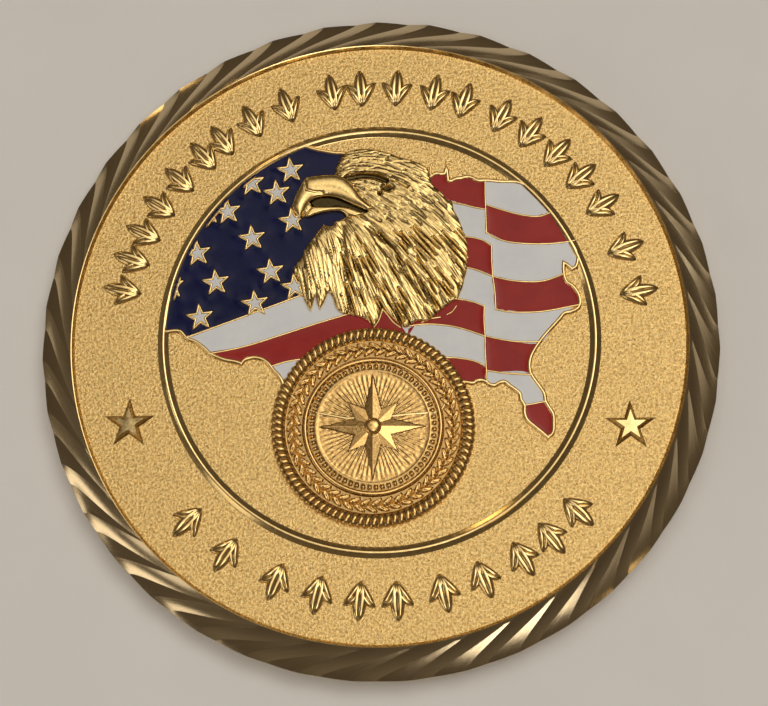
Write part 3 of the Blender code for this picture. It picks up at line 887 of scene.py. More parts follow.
@dataclass
class MapWalls:
    """The raised coast of the map, and the fine walls between its enamel cells."""

    coast_width: float = 0.3
    wall_width: float = 0.14
    embed: float = 0.3
    coast: tuple[Point, ...] = (
        (-14.1, 0.52), (-13.0, 0.55), (-12.8, 0.35), (-12.55, 0.08), (-12.0, -0.15), (-11.4, -0.6),
        (-11.0, -0.98), (-10.5, -1.22), (-10.0, -1.4), (-9.35, -1.52), (-8.95, -1.66), (-8.75, -1.42),
        (-8.4, -1.28), (-8.0, -1.27), (-7.5, -1.42), (-7.15, -1.7), (-6.85, -2.1), (-6.55, -2.42),
        (-6.3, -2.8), (-6.1, -3.3), (-4.0, -5.0), (4.0, -5.0), (5.1, -3.0), (5.6, -3.02), (6.15, -3.08),
        (6.5, -2.9), (6.95, -3.0), (7.2, -3.2), (7.55, -3.24), (7.9, -3.06), (8.15, -3.03), (8.5, -3.3),
        (8.85, -3.55), (9.15, -3.85), (9.2, -4.2), (9.42, -4.6), (9.42, -5.05), (9.55, -5.5),
        (9.95, -5.9), (10.25, -6.15), (10.6, -6.45), (10.9, -6.72), (11.2, -6.45), (11.28, -5.8),
        (11.25, -5.2), (11.0, -4.75), (10.78, -4.35), (10.7, -3.85), (10.4, -3.35), (10.05, -2.85),
        (9.84, -2.45), (9.78, -1.9), (9.88, -1.4), (10.1, -0.95), (10.5, -0.35), (10.9, 0.15),
        (11.35, 0.65), (11.8, 1.15), (12.1, 1.5), (12.6, 1.62), (13.05, 1.9), (13.12, 2.5),
        (12.95, 2.95), (12.65, 3.35), (12.3, 3.6), (12.15, 3.95), (12.1, 4.5), (12.12, 4.9),
        (12.4, 4.72), (12.65, 4.48), (12.9, 4.62), (13.05, 5.1), (13.07, 5.28), (12.2, 7.06),
        (11.1, 8.7), (9.8, 10.15), (9.2, 10.45), (8.0, 10.52), (7.05, 10.62), (6.5, 10.62), (6.2, 10.8),
        (5.85, 10.88), (5.5, 10.8), (5.15, 10.76), (4.85, 10.62), (4.6, 10.62), (4.56, 11.05),
        (4.5, 11.5), (4.4, 11.12), (4.1, 11.1), (3.8, 11.14), (3.5, 10.95), (2.0, 10.5), (-1.0, 12.0),
        (-2.2, 12.6), (-3.0, 12.68), (-4.3, 12.95), (-5.0, 13.15), (-7.0, 12.24), (-9.6, 10.33),
        (-11.9, 7.56), (-13.5, 4.07),
    )
    walls: tuple[tuple[Point, ...], ...] = (
        ((-12.6, 0.1), (-9.0, 1.42), (-5.0, 2.92), (-3.5, 3.5)),
        ((-11.1, -1.0), (-9.0, -0.6), (-6.0, 0.32), (-4.0, 0.97), (-2.4, 1.45), (-1.5, 1.75)),
        ((-7.05, -1.9), (-6.2, -1.62), (-5.3, -1.45), (-4.6, -1.4)),
        ((3.6, 9.5), (4.5, 9.25), (5.0, 9.08), (5.6, 8.95), (6.3, 8.75), (7.04, 8.6)),
        ((7.04, 10.6), (7.04, 9.4), (7.06, 8.6), (7.08, 7.7), (7.1, 6.95)),
        ((7.06, 8.92), (7.6, 8.72), (8.5, 8.42), (9.5, 8.16), (10.3, 8.06), (10.75, 8.1), (11.3, 8.3)),
        (
            (7.08, 7.05), (7.5, 6.75), (8.2, 6.44), (9.0, 6.28), (10.0, 6.2), (11.0, 6.19),
            (12.1, 6.27), (12.9, 6.4),
        ),
        ((5.2, 6.8), (5.8, 6.72), (6.4, 6.62), (6.95, 6.42), (7.42, 6.12)),
        ((7.42, 6.14), (7.42, 5.1), (7.47, 4.02)),
        ((5.2, 4.7), (5.8, 4.63), (6.4, 4.48), (7.0, 4.22), (7.5, 4.0)),
        ((7.45, 4.02), (8.0, 3.86), (8.8, 3.7), (9.6, 3.63), (10.5, 3.63), (11.3, 3.8), (12.15, 4.15)),
        ((7.47, 4.02), (7.6, 3.0), (7.65, 1.78)),
        ((7.62, 1.8), (8.3, 1.64), (9.3, 1.57), (10.5, 1.6), (11.5, 1.74), (12.3, 1.9), (13.1, 2.05)),
        ((4.7, 2.5), (5.2, 2.5), (5.7, 2.42), (6.3, 2.25), (6.9, 2.0)),
        ((6.9, 2.04), (6.87, 1.0), (6.93, 0.0)),
        ((1.7, 0.68), (2.2, 0.76), (3.0, 0.84), (4.0, 0.8), (5.0, 0.64), (6.0, 0.34), (6.93, -0.02)),
        ((6.93, 0.0), (7.6, -0.16), (8.4, -0.32), (9.2, -0.41), (10.5, -0.4)),
        ((6.93, 0.0), (6.93, -1.0), (6.98, -2.0), (7.02, -3.1)),
        ((3.4, -1.2), (4.1, -1.38), (4.8, -1.42), (5.6, -1.52), (6.3, -1.7), (7.0, -2.05)),
        ((7.0, -2.28), (7.8, -2.42), (8.8, -2.53), (9.85, -2.58)),
        ((9.4, -4.62), (10.0, -4.52), (10.8, -4.38)),
        ((2.8, 0.95), (3.4, 1.2), (4.05, 1.3)),
        ((4.45, 1.45), (4.8, 1.65), (5.1, 2.05)),
        ((-0.4, 0.55), (-0.05, 1.0), (0.15, 1.5), (0.28, 1.9)),
        ((0.28, 1.85), (0.6, 1.45), (0.95, 1.0), (1.45, 0.62)),
        ((3.5, 10.95), (3.42, 11.3), (3.5, 11.75)),
    )

    def build(self) -> list[bpy.types.Object]:
        """Build and dress the coast and the walls."""
        foot = LEVEL.field - self.embed
        rise = LEVEL.line - LEVEL.field
        coast = smooth_path(self.coast, True, steps=4)
        shore = Solids()
        bank = Section.rounded(9, 0.8)
        shore.sheet(sweep(coast, True, self.coast_width, rise, LEVEL.field, foot, bank), True)
        fine = Solids()
        low = LEVEL.wall_edge
        ridge = Section.rounded(7, 0.6)
        for points in self.walls:
            path = smooth_path(points, False, steps=6)
            fine.sheet(sweep(path, False, self.wall_width, LEVEL.line - low, low, foot, ridge), False)
        return [
            settle(shore.write("coast_line"), "plated_brass", Metal.POLISHED),
            settle(fine.write("cell_walls"), "plated_brass", Metal.POLISHED),
        ]


CANTON_LOOP: tuple[Point, ...] = (
    (-12.55, 0.1), (-9.0, 1.42), (-5.0, 2.92), (0.0, 4.2), (1.0, 8.0), (0.0, 12.0), (-2.2, 12.6),
    (-3.0, 12.68), (-4.3, 12.95), (-5.0, 13.15), (-7.0, 12.24), (-9.6, 10.33), (-11.9, 7.56),
    (-13.5, 4.07), (-14.1, 0.52), (-13.0, 0.55), (-12.8, 0.35),
)

RED_LOOPS: dict[str, tuple[Point, ...]] = {
    "lower_left": (
        (-11.1, -0.95), (-9.0, -0.6), (-6.0, 0.32), (-4.0, 0.97), (-2.4, 1.45), (-1.0, 2.1), (1.0, 2.3),
        (2.3, 0.76), (1.0, -1.0), (-4.6, -1.4), (-5.4, -1.45), (-6.2, -1.62), (-7.0, -1.9), (-7.5, -1.42),
        (-8.0, -1.27), (-8.4, -1.28), (-8.75, -1.42), (-8.95, -1.6), (-9.35, -1.52), (-10.0, -1.4),
        (-10.5, -1.22),
    ),
    "crown": (
        (3.0, 10.8), (3.8, 11.14), (4.4, 11.1), (4.6, 10.62), (5.15, 10.76), (5.85, 10.88), (6.5, 10.62),
        (7.05, 10.6), (7.05, 8.6), (6.3, 8.75), (5.6, 8.95), (4.5, 9.25), (3.0, 9.8),
    ),
    "upper_right": (
        (7.06, 8.92), (8.5, 8.42), (9.5, 8.16), (10.3, 8.06), (11.3, 8.3), (12.4, 6.9), (12.7, 6.35),
        (11.0, 6.19), (9.0, 6.28), (8.2, 6.44), (7.08, 7.0),
    ),
    "neck_right": (
        (5.0, 6.85), (5.8, 6.72), (6.4, 6.62), (6.95, 6.42), (7.42, 6.12), (7.47, 4.02), (6.4, 4.48),
        (5.8, 4.63), (5.0, 4.7),
    ),
    "middle_right": (
        (7.47, 4.02), (8.8, 3.7), (9.6, 3.63), (10.5, 3.63), (11.3, 3.8), (12.12, 4.1), (12.3, 3.6),
        (12.95, 2.95), (13.1, 2.1), (11.5, 1.74), (10.5, 1.6), (9.3, 1.57), (7.65, 1.78),
    ),
    "neck_lower": (
        (4.6, 2.55), (5.2, 2.5), (6.3, 2.25), (6.9, 2.0), (6.87, 1.0), (6.93, 0.0), (6.0, 0.34),
        (5.0, 0.64), (4.0, 0.8), (3.0, 0.84), (2.2, 0.76), (2.4, 1.6),
    ),
    "lower_right": (
        (6.93, 0.0), (7.6, -0.16), (8.4, -0.32), (9.2, -0.41), (10.5, -0.4), (10.1, -0.95),
        (9.88, -1.4), (9.78, -1.9), (9.84, -2.58), (8.8, -2.53), (7.8, -2.42), (7.0, -2.28),
    ),
    "under_medallion": (
        (3.4, -1.2), (4.1, -1.38), (5.6, -1.52), (6.3, -1.7), (7.0, -2.05), (7.0, -3.0), (6.5, -2.9),
        (6.15, -3.08), (5.6, -3.02), (5.1, -3.0), (4.0, -3.2),
    ),
    "tip": (
        (9.42, -4.62), (10.0, -4.52), (10.8, -4.38), (11.0, -4.75), (11.25, -5.2), (11.28, -5.8),
        (11.2, -6.45), (10.9, -6.6), (10.6, -6.45), (10.25, -6.15), (9.95, -5.9), (9.55, -5.5),
        (9.42, -5.05),
    ),
}

WHITE_LOOPS: dict[str, tuple[Point, ...]] = {
    "long_left": (
        (-12.55, 0.1), (-9.0, 1.42), (-5.0, 2.92), (-2.0, 4.0), (-1.0, 1.95), (-2.4, 1.45), (-4.0, 0.97),
        (-6.0, 0.32), (-9.0, -0.6), (-11.0, -0.98), (-11.4, -0.6), (-12.0, -0.15),
    ),
    "small_left": ((-7.0, -1.9), (-6.2, -1.62), (-5.0, -1.45), (-5.0, -3.3), (-6.1, -3.2), (-6.55, -2.42)),
    "upper_inner": (
        (4.0, 9.4), (5.6, 8.95), (6.3, 8.75), (7.06, 8.6), (7.08, 7.05), (7.4, 6.8), (7.42, 6.12),
        (6.95, 6.42), (6.4, 6.62), (5.0, 6.85), (4.4, 8.0),
    ),
    "upper_outer": (
        (7.04, 10.6), (8.0, 10.52), (9.2, 10.45), (10.4, 9.6), (11.3, 8.3), (10.3, 8.06), (9.5, 8.16),
        (8.5, 8.42), (7.06, 8.92),
    ),
    "middle_outer": (
        (7.2, 6.95), (8.2, 6.44), (9.0, 6.28), (11.0, 6.19), (12.7, 6.35), (13.05, 5.1), (12.9, 4.62),
        (12.65, 4.48), (12.4, 4.72), (12.12, 4.85), (12.15, 4.15), (11.3, 3.8), (10.5, 3.63),
        (8.8, 3.7), (7.47, 4.02), (7.42, 6.12),
    ),
    "folded": (
        (5.0, 4.7), (6.4, 4.48), (7.47, 4.02), (7.65, 1.78), (9.3, 1.57), (10.5, 1.6), (11.5, 1.74),
        (12.5, 1.85), (11.8, 1.15), (11.35, 0.65), (10.5, -0.4), (9.2, -0.41), (7.6, -0.16),
        (6.93, 0.0), (6.87, 1.0), (6.9, 2.0), (6.3, 2.25), (5.2, 2.5), (4.6, 2.55),
    ),
    "lower_inner": (
        (1.6, 0.68), (3.0, 0.84), (4.0, 0.8), (5.0, 0.64), (6.0, 0.34), (6.93, 0.0), (6.98, -2.05),
        (6.3, -1.7), (5.6, -1.52), (4.1, -1.38), (3.0, -1.2),
    ),
    "lower_outer": (
        (7.0, -2.28), (7.8, -2.42), (9.85, -2.58), (10.4, -3.35), (10.7, -3.85), (10.8, -4.38),
        (10.0, -4.52), (9.42, -4.62), (9.2, -4.2), (9.15, -3.85), (8.5, -3.3), (8.15, -3.03),
        (7.9, -3.06), (7.55, -3.24), (7.2, -3.2), (7.0, -3.0),
    ),
}

STAR_TURN = 97.0
STAR_TIP = 1.04
CANTON_STARS: tuple[Point, ...] = (
    (-5.85, 11.45), (-8.45, 10.6), (-6.75, 9.9), (-10.0, 8.65), (-5.7, 7.97), (-8.35, 6.8),
    (-11.95, 5.8), (-7.1, 4.5), (-10.7, 3.8), (-8.1, 2.35), (-11.7, 1.45),
)
PART_STARS: tuple[Point, ...] = ((-11.35, 8.6), (-13.68, 3.55), (-5.5, 3.45))


@dataclass
class EnamelPools:
    """The soft enamel: a pool in each cell, drawn up a little at its walls as it dried."""

    spacing: float = 0.11
    star_spacing: float = 0.085
    sag: float = 0.03
    climb: float = 0.045
    reach: float = 0.16
    overlap: float = 0.06

    def surface(self, loop: Array, stars: Sequence[Point] = ()) -> HeightField:
        """Return a pool's height field.

        The surface falls from the walls towards the middle as an exponential of the distance.

        Args:
            loop: the cell's outline.
            stars: centres of the stars that stand in the pool.

        Returns:
            The height at any points.
        """
        outlines = [star_corners(STAR_TIP, STAR_TURN) + as_points(centre) for centre in stars]

        def height(x: Array, y: Array) -> Array:
            """Give the pool's level."""
            gap = np.abs(loop_depth(x, y, loop))
            for outline in outlines:
                near = np.hypot(x - outline[:, 0].mean(), y - outline[:, 1].mean()) < 1.8
                if near.any():
                    gap[near] = np.minimum(gap[near], np.abs(loop_depth(x[near], y[near], outline)))
            return LEVEL.enamel - self.sag + self.climb * np.exp(-gap / self.reach)

        return height

    def pool(
        self, node: str, points: Sequence[Point], colour: Pool, slot: str, stars: Sequence[Point] = ()
    ) -> bpy.types.Object:
        """Build one pool in place of its CAD node."""
        loop = smooth_path(points, True, steps=4)
        spacing = self.star_spacing if stars else self.spacing
        piece = plate(node + "_pool", loop, spacing, self.surface(loop, stars), foot_of(node), self.overlap)
        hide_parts(node)
        return settle(piece, slot, colour)

    def build(self) -> list[bpy.types.Object]:
        """Build every pool."""
        stars = CANTON_STARS + PART_STARS
        pieces = [self.pool("canton_enamel", CANTON_LOOP, Pool.NAVY, "navy_enamel", stars)]
        for name, points in RED_LOOPS.items():
            pieces.append(self.pool("red_enamel_" + name, points, Pool.RED, "red_enamel"))
        for name, points in WHITE_LOOPS.items():
            pieces.append(self.pool("white_enamel_" + name, points, Pool.WHITE, "white_enamel"))
        return pieces


@dataclass
class CantonStars:
    """The stars of the canton: a gold wall round a white pool, slightly raised along its five ridges."""

    wall_width: float = 0.22
    wall_rise: float = 0.13
    wall_inset: float = 0.2
    ridge_rise: float = 0.1
    edge_rise: float = 0.055
    ring_inside: float = 13.68

    def outline(self, centre: Point, tip: float) -> Array:
        """Return a star's outline with six points a side, pressed in where the bead ring hides it."""
        corners = star_corners(tip, STAR_TURN) + as_points(centre)
        share = (np.arange(6) / 6)[None, :, None]
        loop = (corners[:, None] * (1 - share) + np.roll(corners, -1, axis=0)[:, None] * share).reshape(-1, 2)
        reach = np.hypot(loop[:, 0], loop[:, 1])
        return loop * np.minimum(1, self.ring_inside / reach)[:, None]

    def pool_rings(self, centre: Point) -> Array:
        """Return one pool's rings, from its raised middle out to its edge and down."""
        edge = LEVEL.enamel + self.edge_rise
        steps = (
            (0.04, edge + self.ridge_rise),
            (0.3, edge + 0.7 * self.ridge_rise),
            (1.0, edge),
            (1.0, LEVEL.root),
        )
        loop = self.outline(centre, STAR_TIP - self.wall_inset - 0.02)
        middle = loop.mean(axis=0)
        rings = []
        for scale, z in steps:
            rings.append(np.column_stack([middle + (loop - middle) * scale, np.full(len(loop), z)]))
        return np.stack(rings)

    def build(self) -> list[bpy.types.Object]:
        """Build and dress the walls and the pools."""
        foot = LEVEL.root
        walls = Solids()
        level = LEVEL.wall_edge
        rise = LEVEL.enamel - level + self.wall_rise
        section = Section.rounded(7)
        for centre in CANTON_STARS + PART_STARS:
            loop = self.outline(centre, STAR_TIP - self.wall_inset)
            walls.sheet(sweep(loop, True, self.wall_width, rise, level, foot, section), True)
        pieces = [settle(walls.write("canton_star_walls", 40.0), "plated_brass", Metal.POLISHED)]
        for number, centre in enumerate(CANTON_STARS, start=1):
            node = "star_enamel_{:02d}".format(number)
            fill = Solids()
            fill.sheet(self.pool_rings(centre), False)
            piece = fill.write(node + "_pool", 6.0)
            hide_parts(node)
            pieces.append(settle(piece, "white_enamel", Pool.WHITE))
        hidden = Solids()
        for centre in PART_STARS:
            hidden.sheet(self.pool_rings(centre), False)
        pieces.append(settle(hidden.write("part_star_pools", 6.0), "white_enamel", Pool.WHITE))
        return pieces


# ---------------------------------------------------------------- the eagle's head


HEAD_LOOP: tuple[Point, ...] = (
    (-2.9, 11.0), (-2.85, 11.5), (-2.6, 12.1), (-2.3, 12.55), (-1.5, 12.82), (-0.5, 12.86), (0.5, 12.62),
    (1.5, 12.22), (2.4, 11.95), (2.9, 11.72), (3.25, 11.45), (3.35, 11.1), (3.45, 10.7), (3.7, 10.2),
    (4.0, 9.9), (4.3, 9.6), (4.5, 9.3), (4.85, 9.1), (4.95, 8.6), (5.3, 7.9), (5.55, 7.2), (5.8, 6.5),
    (5.9, 5.9), (5.85, 5.0), (5.75, 4.3), (5.62, 3.8), (5.5, 3.3), (5.3, 2.8), (5.15, 2.45),
    (4.9, 2.35), (4.4, 2.0), (3.9, 1.6), (3.5, 1.22), (3.1, 1.0), (2.8, 1.08), (2.4, 1.0), (2.0, 0.7),
    (1.75, 0.6), (1.5, 0.75), (1.2, 1.0), (0.9, 1.3), (0.6, 1.6), (0.25, 1.85), (0.0, 1.1), (-0.3, 0.65),
    (-0.6, 1.0), (-1.0, 1.25), (-1.5, 1.42), (-1.9, 1.5), (-2.3, 1.58), (-2.75, 1.95), (-3.1, 2.9),
    (-3.3, 3.05), (-3.55, 2.4), (-3.85, 1.85), (-4.0, 2.3), (-4.15, 2.9), (-4.28, 2.3), (-4.42, 1.75),
    (-4.7, 2.2), (-5.0, 3.0), (-5.25, 3.9), (-5.6, 4.6), (-5.4, 5.0), (-5.0, 5.6), (-4.8, 6.1),
    (-4.4, 6.6), (-4.1, 7.0), (-3.8, 7.4), (-3.65, 7.7), (-3.4, 7.55), (-3.05, 7.55), (-2.9, 7.8),
    (-2.5, 7.95), (-2.1, 8.15), (-2.5, 8.5), (-3.2, 8.52), (-4.0, 8.38), (-4.6, 8.16), (-4.85, 8.2),
    (-5.15, 8.08), (-5.5, 8.45), (-5.7, 8.8), (-5.62, 9.2), (-5.4, 9.8), (-5.1, 10.4), (-4.8, 10.8),
    (-4.3, 10.96), (-3.5, 11.02),
)
BEAK_LOOP: tuple[Point, ...] = (
    (-2.9, 11.06), (-2.3, 10.85), (-1.8, 10.45), (-1.45, 10.0), (-1.2, 9.6), (-0.7, 9.1), (-0.3, 8.65),
    (-0.7, 8.52), (-1.2, 8.75), (-2.0, 9.12), (-2.8, 9.45), (-3.5, 9.55), (-4.2, 9.42), (-4.55, 9.15),
    (-4.75, 8.85), (-4.9, 8.5), (-5.15, 8.0), (-5.5, 8.4), (-5.75, 8.8), (-5.66, 9.2), (-5.44, 9.8),
    (-5.14, 10.4), (-4.84, 10.84), (-4.3, 11.0), (-3.5, 11.06),
)
JAW_LOOP: tuple[Point, ...] = (
    (-4.85, 8.18), (-4.62, 8.6), (-4.4, 8.82), (-3.8, 8.86), (-3.2, 8.86), (-2.4, 8.84), (-1.9, 8.74),
    (-1.3, 8.5), (-0.9, 8.3), (-1.5, 8.12), (-2.0, 8.2), (-2.5, 8.5), (-3.2, 8.52), (-4.0, 8.36),
    (-4.6, 8.14),
)
MOUTH_LOOP: tuple[Point, ...] = (
    (-4.6, 9.2), (-4.3, 8.78), (-3.2, 8.84), (-2.4, 8.84), (-1.4, 8.5), (-0.8, 8.4), (-0.6, 8.55),
    (-1.2, 8.8), (-2.0, 9.16), (-2.8, 9.5), (-3.5, 9.6), (-4.2, 9.46),
)
FLOW: tuple[tuple[float, float, float], ...] = (
    (-5.2, 4.5, -85), (-4.4, 2.5, -82), (-4.0, 5.5, -88), (-3.2, 6.8, -88), (-2.8, 4.5, -86),
    (-2.4, 2.3, -80), (-2.0, 6.5, -78), (-1.5, 4.0, -68), (-1.0, 7.5, -60), (-0.6, 2.0, -66),
    (0.3, 5.5, -62), (0.3, 3.5, -62), (1.5, 1.6, -66), (1.7, 6.5, -60), (2.4, 3.5, -61),
    (3.4, 1.7, -55), (3.5, 6.0, -56), (4.3, 3.4, -52), (4.6, 7.2, -50), (5.2, 5.2, -49),
    (4.3, 8.9, -48), (3.3, 9.3, -46), (2.6, 10.2, -34), (3.0, 11.2, -28), (1.5, 11.5, -14),
    (0.0, 12.3, -3), (-1.6, 12.3, 12), (-2.5, 11.7, 30), (-1.0, 11.4, 0), (1.0, 10.6, -22),
    (1.2, 9.0, -28), (2.3, 8.6, -42), (-0.3, 8.3, -25), (0.8, 7.9, -40), (-1.3, 8.2, -35),
    (-2.2, 7.9, -70),
)


@dataclass(frozen=True)
class Plumage:
    """How one region's feather locks are laid.

    Spacing is that of the grid they start from; the other pairs are lowest and highest values.
    """

    spacing: float
    length: Point
    width: Point
    rise: Point
    bend: float


NOSTRIL: tuple[Point, ...] = ((-4.85, 10.45), (-4.75, 9.98), (-4.3, 9.86), (-3.7, 9.8))
BROW_CUT: tuple[Point, ...] = ((-2.1, 10.8), (-1.2, 10.95), (-0.2, 10.9), (0.5, 10.62))
BROW: tuple[Point, ...] = (
    (-1.3, 11.25), (-0.4, 11.35), (0.4, 11.22), (1.2, 10.88), (2.0, 10.5), (2.9, 9.95),
)
UNDER_BROW: tuple[Point, ...] = ((0.9, 10.72), (1.4, 10.52), (1.9, 10.22))
NECK_FOLDS: tuple[tuple[Point, ...], ...] = (
    ((-2.4, 7.5), (-2.3, 5.0), (-2.0, 2.0)),
    ((-0.6, 7.4), (0.5, 6.0), (1.4, 4.5)),
)
BARE_PATCH: tuple[Point, ...] = ((0.6, 10.3), (1.3, 10.15), (1.9, 9.8), (1.7, 9.45), (0.7, 9.6))
EYE: Point = (0.55, 10.12)
LORE: Point = (0.1, 9.7)
EYEBALL: Point = (0.32, 9.86)


def oval(x: Array, y: Array, centre: Point, reach: Point) -> Array:
    """Return 0 at an oval's centre, 1 on its outline, and the square of the distance in between."""
    return ((x - centre[0]) / reach[0]) ** 2 + ((y - centre[1]) / reach[1]) ** 2


def trough(x: Array, y: Array, path: Array, half: float) -> Array:
    """Return a smooth trough's depth, 1 along the path and falling away by the given half width."""
    return np.exp(-((path_distance(x, y, path)[0] / half) ** 2))


@dataclass
class EagleHead:
    """The eagle's head and neck, in high relief, made of overlapping feather locks.

    Taper and tip_fall are the shares of a lock's length over which it narrows and drops to its tip. The
    gaps are the partings between clumps; gap_reach is where they start, along x and along y.
    """

    spacing: float = 0.047
    rim: float = 2.99
    swell: float = 0.2
    neck: Plumage = Plumage(0.42, (1.8, 3.8), (0.22, 0.4), (0.07, 0.15), 0.05)
    face: Plumage = Plumage(0.24, (0.5, 1.1), (0.14, 0.22), (0.04, 0.085), 0.08)
    taper: float = 0.55
    tip_fall: float = 0.3
    barb: float = 0.14
    barb_depth: float = 0.16
    gaps: int = 80
    gap_depth: float = 0.19
    gap_reach: tuple[Point, Point] = ((-2.5, 5.6), (1.6, 7.6))
    gap_length: Point = (1.0, 2.8)
    gap_width: Point = (0.045, 0.068)
    face_centre: Point = (0.3, 10.9)
    face_reach: Point = (3.7, 2.7)
    scatter: float = 0.07
    fold_depth: float = 0.12
    brow_rise: float = 0.15
    brow_cut_depth: float = 0.36
    under_brow_depth: float = 0.14
    eye_depth: float = 0.42
    lore_depth: float = 0.3
    eyeball_rise: float = 0.12
    mouth_depth: float = 0.3
    jaw_edge: float = rim + 0.03
    jaw_rise: float = 0.2
    beak_edge: float = rim + 0.05
    beak_rise: float = 0.3
    nostril_depth: float = 0.07
    pit_floor: float = 2.86
    seed: int = 11

    def flow(self, x: Array, y: Array) -> Array:
        """Return the direction in which the feathers lie, from listed samples.

        Each sample's unit vector is weighted by the inverse square of its distance.
        """
        samples = np.asarray(FLOW)
        square = (x[..., None] - samples[:, 0]) ** 2 + (y[..., None] - samples[:, 1]) ** 2 + 0.05
        turn = np.radians(samples[:, 2])
        return np.arctan2((np.sin(turn) / square).sum(axis=-1), (np.cos(turn) / square).sum(axis=-1))

    def in_face(self, x: Array, y: Array) -> Array:
        """Tell which places lie in the face, where the feathers are short."""
        return oval(x, y, self.face_centre, self.face_reach) < 1

    def locks(self, kind: Plumage, loop: Array, draw: np.random.RandomState) -> Array:
        """Lay one kind of lock on a shaken grid.

        Returns:
            (n, 7): start, direction, length, width, rise and bend of each lock.
        """
        low, high = loop.min(axis=0), loop.max(axis=0)
        xs, ys = np.arange(low[0], high[0], kind.spacing), np.arange(low[1], high[1], kind.spacing)
        x, y = (part.ravel() for part in np.meshgrid(xs, ys, indexing="ij"))
        x = x + draw.uniform(-0.5, 0.5, x.shape) * kind.spacing
        y = y + draw.uniform(-0.5, 0.5, y.shape) * kind.spacing
        turn = self.flow(x, y) + draw.normal(0, self.scatter, x.shape)
        columns = [draw.uniform(*span, x.shape) for span in (kind.length, kind.width, kind.rise)]
        columns.append(draw.uniform(-kind.bend, kind.bend, x.shape))
        table = np.stack([x, y, turn, *columns], axis=1)
        face = self.in_face(x, y)
        wanted = face if kind is self.face else ~face
        return table[wanted & (loop_depth(x, y, loop) > -0.15)]

    def feathers(self, x: Array, y: Array, locks: Array) -> Array:
        """Return the height that the locks add.

        A lock is an arch across its width, which tapers to a pointed tip; it rises from its root to its
        tip, and where locks overlap the highest is seen.
        """
        top = np.zeros(x.shape)
        for start_x, start_y, turn, length, width, rise, bend in locks:
            near = (np.abs(x - start_x) < length) & (np.abs(y - start_y) < length)
            dx, dy = x[near] - start_x, y[near] - start_y
            u = (dx * math.cos(turn) + dy * math.sin(turn)) / length
            v = dy * math.cos(turn) - dx * math.sin(turn) - bend * length * u * u
            half = width / 2 * np.clip(0.45 + 2.5 * u, 0, 1) * np.sqrt(np.clip((1 - u) / self.taper, 0, 1))
            shape = (0.5 + 0.5 * np.clip(u, 0, 1)) * np.clip((1 - u) / self.tip_fall, 0, 1) ** 0.6
            ripple = 1 + self.barb_depth * np.cos(2 * math.pi * v / self.barb)
            lift = rise * shape * ripple * half_round(v / np.maximum(half, 1e-4))
            top[near] = np.maximum(top[near], np.where((u > 0) & (u < 1), lift, 0))
        return top

    def partings(self, x: Array, y: Array) -> Array:
        """Return the depth of the dark partings between clumps of feathers, in the lower right of the neck.

        Each is a narrow trough that follows the feathers and shallows out at both ends.
        """
        draw = np.random.RandomState(self.seed + 1)
        depth = np.zeros(x.shape)
        starts = np.stack([draw.uniform(*span, self.gaps) for span in self.gap_reach], axis=1)
        turns = self.flow(starts[:, 0], starts[:, 1]) + draw.normal(0, 0.04, self.gaps)
        lengths = draw.uniform(*self.gap_length, self.gaps)
        widths = draw.uniform(*self.gap_width, self.gaps)
        for (start_x, start_y), turn, length, width in zip(starts, turns, lengths, widths):
            dx, dy = x - start_x, y - start_y
            u = (dx * math.cos(turn) + dy * math.sin(turn)) / length
            v = dy * math.cos(turn) - dx * math.sin(turn)
            cut = np.sin(math.pi * np.clip(u, 0, 1)) ** 0.5 * np.exp(-((v / width) ** 2))
            depth = np.maximum(depth, self.gap_depth * cut)
        return depth

    def bill_loops(self) -> list[Array]:
        """Return the outlines of the beak, the jaw and the mouth."""
        return [smooth_path(points, True, steps=4) for points in (BEAK_LOOP, JAW_LOOP, MOUTH_LOOP)]

    def all_locks(self, loop: Array) -> Array:
        """Lay the locks of the neck and the face."""
        draw = np.random.RandomState(self.seed)
        return np.concatenate([self.locks(self.neck, loop, draw), self.locks(self.face, loop, draw)])

    def painted_shade_map(self, loop: Array) -> Callable[[Array, Array, Array], Array]:
        """Return the head's painted shade: most between locks and in the partings, the mouth and the eye."""
        locks = self.all_locks(loop)
        beak, jaw, mouth = self.bill_loops()
        brow_cut = smooth_path(BROW_CUT, False)

        def share(x: Array, y: Array, _: Array) -> Array:
            """Give the amount of painted shade."""
            dark = 0.6 * (1 - ease(0.01, 0.06, self.feathers(x, y, locks)))
            dark = np.maximum(dark, 1.05 * ease(0.15, 1.0, self.partings(x, y) / self.gap_depth))
            dark = np.maximum(dark, 0.95 * np.exp(-((path_distance(x, y, brow_cut)[0] / 0.2) ** 4)))
            dark = np.maximum(dark, np.exp(-(oval(x, y, EYE, (0.3, 0.2)) ** 2)))
            dark = np.maximum(dark, np.exp(-(oval(x, y, LORE, (0.13, 0.12)) ** 2)))
            dark = np.where(loop_depth(x, y, mouth) > 0, 1.0, dark)
            clean = (loop_depth(x, y, beak) > 0) | (loop_depth(x, y, jaw) > 0)
            return np.where(clean, 0, dark)

        return share

    def surface(self, loop: Array) -> HeightField:
        """Return the head's height field.

        A low dome carries the feathers; beak, jaw, mouth, brow and eye are laid over them.
        """
        locks = self.all_locks(loop)
        beak, jaw, mouth = self.bill_loops()
        nostril, brow_cut, brow, under_brow = (
            smooth_path(points, False) for points in (NOSTRIL, BROW_CUT, BROW, UNDER_BROW)
        )
        folds = [smooth_path(points, False) for points in NECK_FOLDS]
        patch = as_points(BARE_PATCH)

